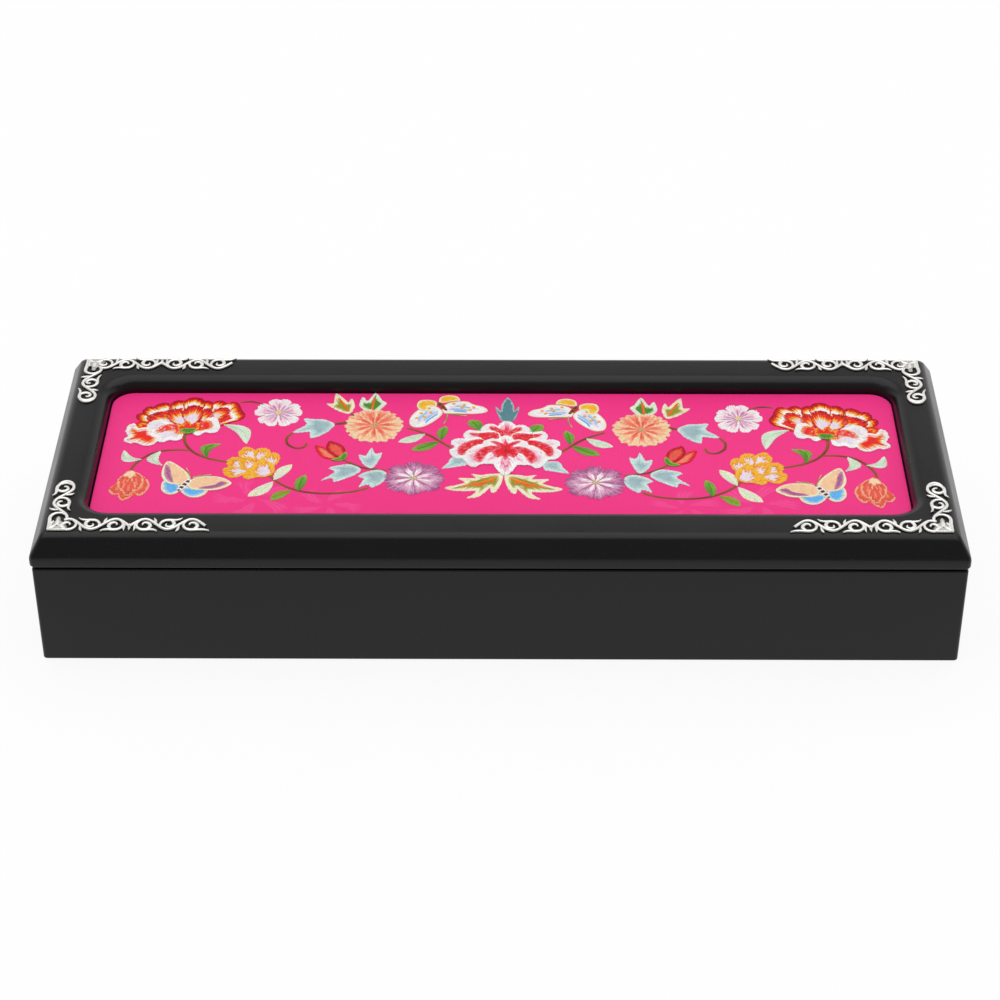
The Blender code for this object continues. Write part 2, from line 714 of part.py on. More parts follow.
def loop_band(centre, ending):
    """The band on a loop's open side. Its ending is a leaf, a longer tail, the corner or an arch."""
    stations = []
    last, tip = BAND_ENDINGS[ending]
    for index in range(BAND_STATIONS + 1):
        part = index / BAND_STATIONS
        turn = BAND_START_ANGLE + (last - BAND_START_ANGLE) * part
        width = eased(BAND_WIDTH_SHARES, part)
        stations.append(around(centre, LOOP_CENTRE_SHARE, LOOP_RADIUS_SHARE, turn, width))
    for along, across, width in tip:
        stations.append((centre + along, LOOP_CENTRE_SHARE + across, width))
    return stations


def loop_curl(centre):
    """The curl that leaves the band and winds in to its eye on a tightening spiral."""
    stations = []
    for index in range(CURL_STATIONS + 1):
        part = index / CURL_STATIONS
        turn = CURL_START_ANGLE - CURL_SWEEP * part
        closing = (1 - part) ** CURL_TIGHTNESS
        reach = CURL_EYE_SHARE + (LOOP_RADIUS_SHARE - CURL_EYE_SHARE) * closing
        width = eased(CURL_WIDTH_SHARES, part)
        stations.append(around(centre, LOOP_CENTRE_SHARE, reach, turn, width))
    return stations


def changed_over(stations):
    """The same stroke with the band's outer and inner edges changed over."""
    middle = 2 * LOOP_CENTRE_SHARE
    return [(along, middle - across, width) for along, across, width in stations]


def small_leaf(shares, place, heading, side):
    """A pointed leaf. heading is 1 away from the corner, and side is 1 on the inner edge."""
    stations = []
    for (along, across), width in zip(shares, LEAF_WIDTH_SHARES):
        across = across if side == 0 else LOOP_CENTRE_SHARE + side * across
        stations.append((place + heading * along, across, width))
    return stations


def scroll_run(step, stem_end, first_ending, hooped):
    """Three loops on one stem, away from the corner, with a leaf at each crossing."""
    loops = [FIRST_LOOP_SHARE + step * index for index in range(LOOPS_IN_RUN)]
    stem_start = FIRST_LOOP_SHARE - STEM_LEAD_SHARES[first_ending]
    strokes = [("stem", winding_stem(loops[-1], step, stem_start, stem_end, hooped))]
    for index, centre in enumerate(loops):
        ending = "leaf" if index > 0 else first_ending
        parts = [loop_band(centre, ending)]
        if ending != "arch":
            parts.append(loop_curl(centre))
        for stations in parts:
            strokes.append(("curl", changed_over(stations) if index % 2 else stations))
    for index in range(LOOPS_IN_RUN - 1):
        crossing = (loops[index] + loops[index + 1]) / 2
        side = 1 if index % 2 else -1
        strokes.append(("leaf", small_leaf(CROSSING_LEAF_SHARES, crossing, 1, side)))
    return strokes


def mount_strokes():
    """Every stroke of one mount: two runs that meet on the long leg and one up the short leg."""
    middle = LONG_LEG_MIDDLE_SHARE
    strokes = scroll_run(LOOP_STEP_SHARE, middle, "corner", False)
    for kind, stations in scroll_run(LOOP_STEP_SHARE, middle, "tail", False):
        mirrored = [(2 * middle - along, across, width) for along, across, width in stations]
        strokes.append((kind, mirrored))
    last_loop = FIRST_LOOP_SHARE + SHORT_LEG_LOOP_STEP_SHARE * (LOOPS_IN_RUN - 1)
    for kind, stations in scroll_run(SHORT_LEG_LOOP_STEP_SHARE, last_loop, "arch", True):
        strokes.append((kind, [(across, along, width) for along, across, width in stations]))
    for heading in (-1, 1):
        strokes.append(("leaf", small_leaf(MIDDLE_LEAF_SHARES, middle, heading, 0)))
    strokes.append(("leaf", small_leaf(KEYSTONE_LEAF_SHARES, middle, 1, 0)))
    strokes.append(("corner", list(CORNER_BELL_SHARES)))
    return strokes


def stroke_outline(stations):
    """The outline of a stroke that swells and thins along its stations."""
    left_bank, right_bank = [], []
    for index, (x, y, width) in enumerate(stations):
        before = Vector(stations[max(index - 1, 0)][:2])
        after = Vector(stations[min(index + 1, len(stations) - 1)][:2])
        heading = (after - before).normalized()
        side = Vector((-heading.y, heading.x)) * width / 2
        middle = Vector((x, y))
        left_bank.append(middle + side)
        right_bank.append(middle - side)
    return left_bank + list(reversed(right_bank))


def mount_parts():
    """Every flat part of one mount as (outline, height), in metres."""
    parts = []
    for kind, stations in mount_strokes():
        outline = [Vector(point) * MOUNT_BAND for point in stroke_outline(stations)]
        parts.append((outline, MOUNT_THICKNESS * MOUNT_HEIGHT_SHARES[kind]))
    return parts


def joined_mount():
    """One mount on its plan: all its strokes made into a single body."""
    strokes = bpy.data.collections.new("mount_strokes")
    cutters.children.link(strokes)
    first, *others = mount_parts()
    base = cutter(prism(first[0], 0, first[1]), "mount_first_stroke")
    for number, (outline, height) in enumerate(others):
        stroke = cutter(prism(outline, 0, height), f"mount_stroke_{number}")
        cutters.objects.unlink(stroke)
        strokes.objects.link(stroke)
    join = base.modifiers.new("join_strokes", "BOOLEAN")
    join.operation = "UNION"
    join.solver = "EXACT"
    join.operand_type = "COLLECTION"
    join.collection = strokes
    mesh = evaluated_mesh(base)
    tidy = bmesh.new()
    tidy.from_mesh(mesh)
    bmesh.ops.remove_doubles(tidy, verts=tidy.verts, dist=MERGE_DISTANCE)
    bmesh.ops.dissolve_limit(tidy, angle_limit=FLAT_ANGLE, verts=tidy.verts, edges=tidy.edges)
    tidy.to_mesh(mesh)
    tidy.free()
    return mesh


def make_mounts():
    """The same mount on all four corners of the lid, mirrored from one to the next."""
    drawn = joined_mount()
    reach_x = LID_LENGTH / 2 - MOUNT_EDGE_INSET
    reach_y = LID_DEPTH / 2 - MOUNT_EDGE_INSET
    mounts = []
    for place_y, across in (("front", -1), ("back", 1)):
        for place_x, along in (("left", -1), ("right", 1)):
            shape = bmesh.new()
            shape.from_mesh(drawn)
            bmesh.ops.scale(shape, vec=(-along, -across, 1), verts=shape.verts)
            corner = (along * reach_x, MIDDLE_Y + across * reach_y, LID_TOP_Z + TRIM_GAP)
            bmesh.ops.translate(shape, vec=corner, verts=shape.verts)
            name = f"corner_mount_{place_y}_{place_x}"
            mounts.append(finished_piece(shape, name, "silvered_metal"))
    return mounts


def hang_on_hinge(pieces):
    """Hang the lid's pieces, and the shapes that cut them, on an empty on the hinges' axis."""
    axis = bpy.data.objects.new("lid_hinge_axis", None)
    axis.location = (0, PIN_Y, PIN_Z)
    axis.empty_display_type = "SINGLE_ARROW"
    axis.empty_display_size = HINGE_LENGTH
    case.objects.link(axis)
    bpy.context.view_layer.update()
    for piece in pieces:
        cuts = [modifier.object for modifier in piece.modifiers if modifier.type == "BOOLEAN"]
        for member in [piece] + cuts:
            member.parent = axis
            member.matrix_parent_inverse = axis.matrix_world.inverted()


clear_scene()
case = new_collection(COLLECTION_NAME)
cutters = new_collection(CUTTER_COLLECTION_NAME)
cutters.hide_render = True

front_wall, right_wall, back_wall, left_wall = make_walls()
make_bottom_board()
make_linings()
lid_board = make_lid_board()
lid_pieces = [lid_board, make_lid_pad()]
lid_pieces += make_silk_and_card()
lid_pieces += make_mounts()
box_hinge_pieces, lid_hinge_pieces = make_hinges(back_wall, lid_board)
lid_pieces += lid_hinge_pieces
hang_on_hinge(lid_pieces)
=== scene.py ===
"""The look of the lacquered pen case: lacquer, silk, embroidery, silvered mounts, velvet and brass."""

import math
import random

import bmesh
import bpy
from mathutils import Matrix, Vector, kdtree


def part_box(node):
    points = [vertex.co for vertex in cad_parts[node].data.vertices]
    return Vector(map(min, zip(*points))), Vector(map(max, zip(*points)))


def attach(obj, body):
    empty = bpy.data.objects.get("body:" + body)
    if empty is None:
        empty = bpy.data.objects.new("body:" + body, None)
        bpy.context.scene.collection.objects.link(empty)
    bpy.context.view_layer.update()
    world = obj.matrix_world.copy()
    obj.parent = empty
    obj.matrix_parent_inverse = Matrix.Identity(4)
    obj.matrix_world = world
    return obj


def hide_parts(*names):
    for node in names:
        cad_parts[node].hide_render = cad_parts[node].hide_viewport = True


# Where the picture was taken from, and with what lens
CAMERA_PLACE = (0.005503, -0.601326, 0.463859)
CAMERA_PITCH = math.radians(36.403)
CAMERA_YAW = math.radians(0.550)
CAMERA_ROLL = math.radians(-0.2044)
CAMERA_LENS = 95.46
CAMERA_SENSOR = 36.0

# The whole case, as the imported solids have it
LID_LENGTH = 0.2500
LID_DEPTH = 0.0918
MIDDLE_Y = -0.00035
BOX_HEIGHT = 0.0310
LID_BOTTOM_Z = 0.0316
LID_TOP_Z = 0.0405
LID_OVERHANG = 0.00045
WALL_THICKNESS = 0.0065

# The lid's moulding
LID_CORNER_RADIUS = 0.0015
TOP_ARRIS_RADIUS = 0.0030
SLOPE_INSET = 0.0034
SLOPE_ANGLE = math.radians(60)
NOSE_RADIUS = 0.0036
LOWER_ARRIS_RADIUS = 0.00075
PANEL_SIDE_MARGIN = 0.01345
PANEL_FRONT_MARGIN = 0.0153
PANEL_CORNER_RADIUS = 0.0065
SUNK_EDGE_RADIUS = 0.00365
SUNK_EDGE_Z = 0.03685
RECESS_FLOOR_Z = 0.03415
SILK_Z = 0.03644

# The silk, which is turned down at its edge and stands off the wood a little
SILK_GAP = 0.0003
SILK_EDGE_RADIUS = 0.0003
SILK_TURN_DOWN = 0.0001

# What the wood loses to the hinges
HINGE_LEAF_RISE = 0.0009
LEAF_SEAT_GAP = 0.00015
KNUCKLE_CLEARANCE = 0.00025

# The box's edges
BOX_CORNER_RADIUS = 0.0010
FOOT_ARRIS_RADIUS = 0.0006
RIM_EASE_RADIUS = 0.0005
SWING_EASE_RADIUS = 0.0012
FLOOR_TOP_Z = 0.0030

# The velvet pads: how soft their edges are, how far the face swells and the sides pull in
PAD_CORNER_RADIUS = 0.0010
PAD_EDGE_SOFTNESS = 0.0005
PAD_CROWN_SHARE = 0.3
PAD_PULL_SHARE = 0.01
PAD_LARGEST_PULL = 0.0004
PAD_CROWN_POWER = 0.5
PAD_PULL_POWER = 3
PAD_RINGS = 7

# How finely the outlines are cut, and from what angle on an edge stays sharp
ARRIS_STEPS = 8
CORNER_STEPS = 8
STRAIGHT_STEPS = 24
SHARP_ANGLE = math.radians(34)

QUARTER = math.pi / 2
FULL_TURN = 360

# The studio: how bright the room is at heights from its foot to its top, how bright it is behind
# the camera, how large the floor is and how white it shows, and the lamp over the case
ROOM_STOPS = (
    (0.00, 1.00), (0.30, 0.95), (0.52, 0.74), (0.62, 0.47), (0.74, 0.32), (0.90, 0.40), (0.98, 0.60),
)
ROOM_BEHIND = 0.32
ROOM_BACK_SPAN = (-0.2, 0.15)
FLOOR_REACH = 3.0
FLOOR_WHITE_SHARE = 0.9
PAPER_BRIGHTNESS = (0.93, 0.97)
LAMP_PLACE = (0.0, 0.10, 1.30)
LAMP_SIZE = (2.2, 1.8)
LAMP_POWER = 16.6

# How fine the patterns in the finishes are, in waves to the metre
PEEL_WAVES = 520
LACQUER_CLOUD_WAVES = 34
LACQUER_GRAIN_WAVES = (60, 900, 900)
DUST_WAVES = 2600
WARP_WAVES = 640
WEFT_WAVES = 760
SILK_CLOUD_WAVES = 18
LEAF_EDGE_WAVES = 420
STRAND_WAVES = 2600
PILE_WAVES = 2200
TARNISH_WAVES = 260
BRUSHED_WAVES = (90, 2200, 2200)
SILVER_GRAIN_WAVES = 1900
SILVER_CLOUD_WAVES = 160
CARD_FIBRE_WAVES = (300, 900, 300)
PAPER_WAVES = 40
FLAT_NAP_WAVES = (90, 260, 90)
UPRIGHT_NAP_WAVES = (90, 90, 260)

# How deep the finishes are to the light, in metres
LACQUER_DEPTH = 0.000012
WEAVE_DEPTH = 0.00004
STRAND_DEPTH = 0.00003
PILE_DEPTH = 0.00012
BRUSHED_DEPTH = 0.00001
SILVER_DEPTH = 0.00002
CARD_DEPTH = 0.00005

# Between these heights over their feet the mounts turn from dark to bright
MOUNT_DARK_RISE = 0.00012
MOUNT_BRIGHT_RISE = 0.00046

# The embroidery's threads, in millimetres
MM = 0.001
THREAD_WIDTH = 0.36
THREAD_SPACING = 0.31
STITCH_LENGTH = 2.2
STITCH_OVERLAP = 0.14
SHADE_STEP = 0.3
STEM_STEP = 0.42
STEM_REACH = 0.95
VEIN_WIDTH = 0.42
BROAD_VEIN_WIDTH = 0.9
EDGE_THREAD_WIDTH = 0.34
KNOT_WIDTH = 0.7
UPPER_KNOT_WIDTH = 0.56
KNOT_REACH = 0.175
EYE_RADIUS = 0.8
EYE_KNOTS = 5
PATH_STEPS = 6

# How unevenly the hand works, in shares of what it does and, for a petal, in degrees
STITCH_LENGTH_WANDER = 0.25
STITCH_PLACE_WANDER = 0.2
LEAF_EDGE_WANDER = 0.06
EDGE_UNEVENNESS_SHARE = 0.3
THREAD_VARIATION = 0.07
SHADE_BLEND = 0.07
PETAL_SIZE_WANDER = 0.04
PETAL_TURN_WANDER = 3.0

# Long and short stitch: how much of the way from the focus each thread of four leaves out
SKIPPED_SHARES = (0.0, 0.5, 0.25, 0.5)

# A leaf: how far back it is widest, how pointed it is, how its stitches slant and how much lighter
# its second half is
LEAF_LEAN = 0.85
LEAF_POINTEDNESS = 0.8
STITCH_SLANT = 0.55
LIGHT_HALF_SHARE = 0.45

# The line that the right half mirrors, and how much lower that half and its peony side lie
MIRROR_X = 1.3
MIRROR_DROP = 2.2
PEONY_DROP = 0.5

# The layers that the threads lie in, from the silk up
BRANCH_LAYER = 0.5
LEAF_LAYER = 1
PETAL_LAYER = 1
STREAK_LAYER = 2
VEIN_LAYER = 2
FEELER_LAYER = 2
WING_MARK_LAYER = 3
BODY_LAYER = 4
EYE_LAYER = 4
KNOT_LIFT = 0.5

# The leafy rosettes woven into the silk: middle, reach, number of leaves and turn
ROSETTES = (
    (-67.0, -21.0, 12.0, 5, 0.3), (-47.0, -23.5, 10.0, 5, 1.1),
    (70.0, -23.0, 12.0, 5, 2.2), (50.0, -24.5, 10.0, 5, 0.6),
)
ROSETTE_SQUASH = 1.25
ROSETTE_TWIST = 2.2
LEAF_VEINS = 7
VEIN_WAVES = 16

# How the threads are raised, in metres
LAYER_HEIGHT = 0.000055
THREAD_SINK = 0.00006
CROWN_HEIGHT = 0.00025
THREAD_FLATNESS = 0.55
THREAD_SIDES = 5
THREAD_POINTS = 3

# The drawing of the corner mounts, in shares of the width of their band. The scroll is made of
# loops at an even step, each with a stem over it, a band on its open side and a curl inside.
LOOPS_IN_RUN = 3
LOOP_STEP_SHARE = 1.18
SHORT_LEG_LOOP_STEP_SHARE = 1.27
FIRST_LOOP_SHARE = 1.05
LONG_LEG_MIDDLE_SHARE = 4.15
LOOP_CENTRE_SHARE = 0.47
LOOP_RADIUS_SHARE = 0.40
STEM_CENTRE_SHARE = 0.51
STEM_SWING_SHARE = 0.41
STEM_LEAD_SHARES = {"corner": 0.24, "arch": 0.24, "tail": 0.72}
STEM_WIDTH_SHARES = (0.19, 0.18, 0.19)
HOOP_REACH_SHARE = 0.55
HOOP_SWEEP = math.radians(150)
BAND_START_ANGLE = math.radians(58)
BAND_WIDTH_SHARES = (0.10, 0.15, 0.18, 0.20, 0.21)
LEAF_TIP_SHARES = ((-0.33, -0.385, 0.17), (-0.54, -0.43, 0.13), (-0.69, -0.54, 0.03))
TAIL_TIP_SHARES = ((-0.36, -0.385, 0.18), (-0.66, -0.40, 0.15), (-0.94, -0.50, 0.03))
ARCH_FOOT_SHARES = ((-0.35, -0.36, 0.24), (-0.80, -0.30, 0.34))
BAND_ENDINGS = {
    "leaf": (math.radians(-100), LEAF_TIP_SHARES),
    "tail": (math.radians(-100), TAIL_TIP_SHARES),
    "corner": (math.radians(-125), ()),
    "arch": (math.radians(-95), ARCH_FOOT_SHARES),
}
CURL_START_ANGLE = math.radians(-115)
CURL_SWEEP = math.radians(285)
CURL_TIGHTNESS = 1.7
CURL_EYE_SHARE = 0.08
CURL_WIDTH_SHARES = (0.20, 0.23, 0.20, 0.15, 0.13, 0.06)
LEAF_WIDTH_SHARES = (0.08, 0.15, 0.17, 0.03)
CROSSING_LEAF_SHARES = ((0.02, 0.08), (0.04, 0.24), (0.08, 0.40), (0.15, 0.55))
MIDDLE_LEAF_SHARES = ((0.24, 0.69), (0.265, 0.45), (0.275, 0.22), (0.25, -0.04))
KEYSTONE_LEAF_SHARES = ((0.0, 0.55), (0.0, 0.40), (0.0, 0.22), (0.0, 0.0))
CORNER_BELL_SHARES = (
    (0.50, 1.13, 0.12), (0.50, 1.01, 0.27), (0.50, 0.82, 0.30), (0.53, 0.62, 0.68),
    (0.56, 0.28, 1.00), (0.56, 0.00, 1.08),
)
CORNER_LOBE_SHARES = (
    ((0.50, 0.38, 0.10), (0.50, 0.52, 0.24), (0.50, 0.68, 0.26), (0.50, 0.88, 0.06)),
    ((0.46, 0.40, 0.08), (0.34, 0.30, 0.22), (0.24, 0.21, 0.24), (0.12, 0.12, 0.08)),
    ((0.56, 0.40, 0.08), (0.70, 0.32, 0.22), (0.82, 0.24, 0.22), (0.96, 0.14, 0.06)),
)
CORNER_RIM_SHARES = (
    ((0.04, 0.06, 0.10), (0.40, 0.05, 0.12), (0.80, 0.05, 0.12), (1.12, 0.08, 0.12)),
    ((0.06, 0.04, 0.10), (0.08, 0.24, 0.12), (0.16, 0.48, 0.14), (0.30, 0.74, 0.12)),
)
MOUNT_HEIGHT_SHARES = {"stem": 1.0, "corner": 0.50, "curl": 0.86, "leaf": 0.72}
MOUNT_EDGE_INSET = 0.0047
MOUNT_BAND = 0.0053
MOUNT_THICKNESS = 0.00064
MOUNT_FOOT_Z = 0.0406
MOUNT_STEP = 0.00016
MOUNT_BAR_SIDES = 14
STEM_STATIONS = 14
HOOP_STATIONS = 5
BAND_STATIONS = 5
CURL_STATIONS = 7


# Shader maths

class Value:
    """A socket in a node tree, on which sums are written as plain expressions."""

    def __init__(self, tree, socket):
        self.tree = tree
        self.socket = socket

    def __add__(self, other):
        return self.tree.sum("ADD", self, other)

    def __sub__(self, other):
        return self.tree.sum("SUBTRACT", self, other)

    def __rsub__(self, other):
        return self.tree.sum("SUBTRACT", other, self)

    def __mul__(self, other):
        return self.tree.sum("MULTIPLY", self, other)

    def __truediv__(self, other):
        return self.tree.sum("DIVIDE", self, other)


class Tree:
    """A node tree, and the nodes that are added to it."""

    def __init__(self, tree):
        self.tree = tree
        self.tree.nodes.clear()

    def node(self, kind, settings=None, **values):
        """Add a node. Its settings come first, then the values or links of its sockets."""
        added = self.tree.nodes.new(kind)
        for key, value in (settings or {}).items():
            if key == "stops":
                self.set_stops(added.color_ramp, value)
            else:
                setattr(added, key, value)
        for name, value in values.items():
            self.feed(added, name.replace("_", " "), value)
        return added

    def set_stops(self, ramp, stops):
        """The colours of a ramp, from (place, colour) pairs."""
        while len(ramp.elements) > 1:
            ramp.elements.remove(ramp.elements[-1])
        for index, (place, colour) in enumerate(stops):
            element = ramp.elements[0] if index == 0 else ramp.elements.new(place)
            element.position = place
            element.color = colour

    def plug(self, socket, value):
        """Link a socket to a value, or set it to a plain number or colour."""
        if isinstance(value, Value):
            self.tree.links.new(value.socket, socket)
        else:
            socket.default_value = value

    def feed(self, node, name, value):
        """Plug a value into the input of that name or identifier."""
        self.plug(next(item for item in node.inputs if name in (item.identifier, item.name)), value)

    def out(self, node, name=0):
        """An output of a node, by its name or number."""
        return Value(self, node.outputs[name])

    def sum(self, operation, first, second=0.0):
        """What one maths node makes of two values."""
        added = self.node("ShaderNodeMath", {"operation": operation})
        for socket, value in zip(added.inputs, (first, second)):
            self.plug(socket, value)
        return self.out(added)


class Finish(Tree):
    """A material or a world."""

    def __init__(self, name, tree=None):
        if tree is None:
            self.material = bpy.data.materials.new(name)
            self.material.use_nodes = True
            tree = self.material.node_tree
        super().__init__(tree)

    def mix(self, factor, first, second, blend="MIX"):
        """A colour between two colours."""
        added = self.node("ShaderNodeMix", {"data_type": "RGBA", "blend_type": blend})
        for name, value in (("Factor_Float", factor), ("A_Color", first), ("B_Color", second)):
            self.feed(added, name, value)
        return Value(self, next(item for item in added.outputs if item.identifier == "Result_Color"))

    def place(self, scale=(1, 1, 1)):
        """The object's own coordinates, stretched for a pattern."""
        coordinates = self.out(self.node("ShaderNodeTexCoord"), "Object")
        return self.out(self.node("ShaderNodeMapping", Vector=coordinates, Scale=scale))

    def parts(self, vector):
        """The X, Y and Z of a vector."""
        split = self.node("ShaderNodeSeparateXYZ", Vector=vector)
        return [self.out(split, name) for name in "XYZ"]

    def noise(self, vector, scale, detail=2.0, roughness=0.5):
        """A cloudy pattern between 0 and 1."""
        made = self.node(
            "ShaderNodeTexNoise", Vector=vector, Scale=scale, Detail=detail, Roughness=roughness
        )
        return self.out(made, "Fac")

    def between(self, value, low, high, out_low=0.0, out_high=1.0):
        """A value stretched from one range to another, and held inside it."""
        made = self.node("ShaderNodeMapRange", {"clamp": True}, Value=value)
        for name, amount in (
            ("From Min", low), ("From Max", high), ("To Min", out_low), ("To Max", out_high)
        ):
            self.feed(made, name, amount)
        return self.out(made)

    def bump(self, height, distance, strength=1.0):
        """The surface's direction as if it were raised by the height."""
        made = self.node("ShaderNodeBump", Height=height, Distance=distance, Strength=strength)
        return self.out(made)

    def surface(self, **values):
        """End the tree in one Principled shader."""
        shader = self.node("ShaderNodeBsdfPrincipled", **values)
        self.node("ShaderNodeOutputMaterial", Surface=self.out(shader))
        return self.material


class Shaping(Tree):
    """A Geometry Nodes tree with named inputs, which ends in one plain mesh with its finish on it."""

    def __init__(self, name, inputs):
        group = bpy.data.node_groups.new(name, "GeometryNodeTree")
        super().__init__(group)
        sockets = group.interface
        sockets.new_socket("Geometry", in_out="INPUT", socket_type="NodeSocketGeometry")
        self.inputs = {}
        for label, kind in inputs:
            added = sockets.new_socket(label, in_out="INPUT", socket_type="NodeSocket" + kind)
            self.inputs[label] = added.identifier
        sockets.new_socket("Geometry", in_out="OUTPUT", socket_type="NodeSocketGeometry")
        self.given = self.node("NodeGroupInput")

    def wanted(self, label):
        """One of the tree's own inputs."""
        return self.out(self.given, label)

    def named(self, name):
        """A measure that the points carry."""
        reader = self.node("GeometryNodeInputNamedAttribute", {"data_type": "FLOAT"}, Name=name)
        return self.out(reader, "Attribute")

    def raised(self, geometry, amount):
        """The geometry with each of its points moved up."""
        offset = self.out(self.node("ShaderNodeCombineXYZ", Z=amount))
        return self.out(self.node("GeometryNodeSetPosition", Geometry=geometry, Offset=offset))

    def height(self):
        """How high each point lies."""
        place = self.out(self.node("GeometryNodeInputPosition"))
        return self.out(self.node("ShaderNodeSeparateXYZ", Vector=place), "Z")

    def swept(self, curve, sides):
        """A round bar along a curve, as thick at each point as its half_width says."""
        profile = self.out(
            self.node("GeometryNodeCurvePrimitiveCircle", Resolution=sides, Radius=1.0), "Curve"
        )
        bar = self.node(
            "GeometryNodeCurveToMesh",
            Curve=curve, Profile_Curve=profile, Scale=self.named("half_width"), Fill_Caps=True,
        )
        return self.out(bar)

    def end(self, geometry):
        """Round its shading, make it one mesh and put its finish on it."""
        rounded = self.out(self.node("GeometryNodeSetShadeSmooth", Geometry=geometry))
        plain = self.out(self.node("GeometryNodeRealizeInstances", Geometry=rounded))
        painted = self.node(
            "GeometryNodeSetMaterial", Geometry=plain, Material=self.wanted("Finish")
        )
        self.node("NodeGroupOutput", Geometry=self.out(painted))


def shape_with(piece, shaping, values, used):
    """Run a shaping tree on a piece, and keep its result without the attributes that it used."""
    made = piece.modifiers.new("shaping", "NODES")
    made.node_group = shaping.tree
    for label, value in values.items():
        made[shaping.inputs[label]] = value
    settle(piece)
    for name in used:
        piece.data.attributes.remove(piece.data.attributes[name])


def shade(red, green, blue):
    """A colour from its values as seen on a screen, each from 0 to 255."""
    def straight(value):
        part = value / 255
        return part / 12.92 if part <= 0.04045 else ((part + 0.055) / 1.055) ** 2.4
    return (straight(red), straight(green), straight(blue), 1.0)


def grey(brightness):
    """A grey from its share of the light."""
    return (brightness, brightness, brightness, 1.0)


# The embroiderer's threads, by their colours as seen on a screen
TONES = {
    "red": (236, 14, 38), "scarlet": (244, 32, 14), "deep red": (178, 6, 18),
    "orange": (244, 108, 26), "gold": (253, 190, 42), "amber": (242, 150, 22),
    "pale yellow": (250, 226, 130), "cream": (246, 242, 206), "straw": (206, 196, 140),
    "white": (253, 250, 249), "pale blush": (252, 232, 238), "blush": (249, 194, 212),
    "rose": (244, 110, 140), "lilac white": (240, 226, 240), "lilac": (226, 178, 208),
    "mauve": (206, 136, 178), "plum": (174, 96, 146), "buff": (254, 222, 178),
    "pale peach": (254, 208, 164), "peach": (252, 180, 140), "salmon": (248, 136, 108),
    "coral": (238, 92, 74), "mint": (212, 236, 208), "pale mint": (230, 244, 222),
    "leaf green": (80, 144, 36), "grass": (134, 188, 62), "olive": (150, 158, 34),
    "teal": (92, 140, 150), "pale teal": (156, 204, 196), "slate": (166, 194, 200),
    "blue grey": (188, 214, 216), "aqua": (210, 236, 230), "sky": (100, 184, 246),
    "pale blue": (168, 210, 244), "brown": (160, 92, 26), "deep brown": (118, 56, 16),
}
THREADS = {name: shade(*tone) for name, tone in TONES.items()}

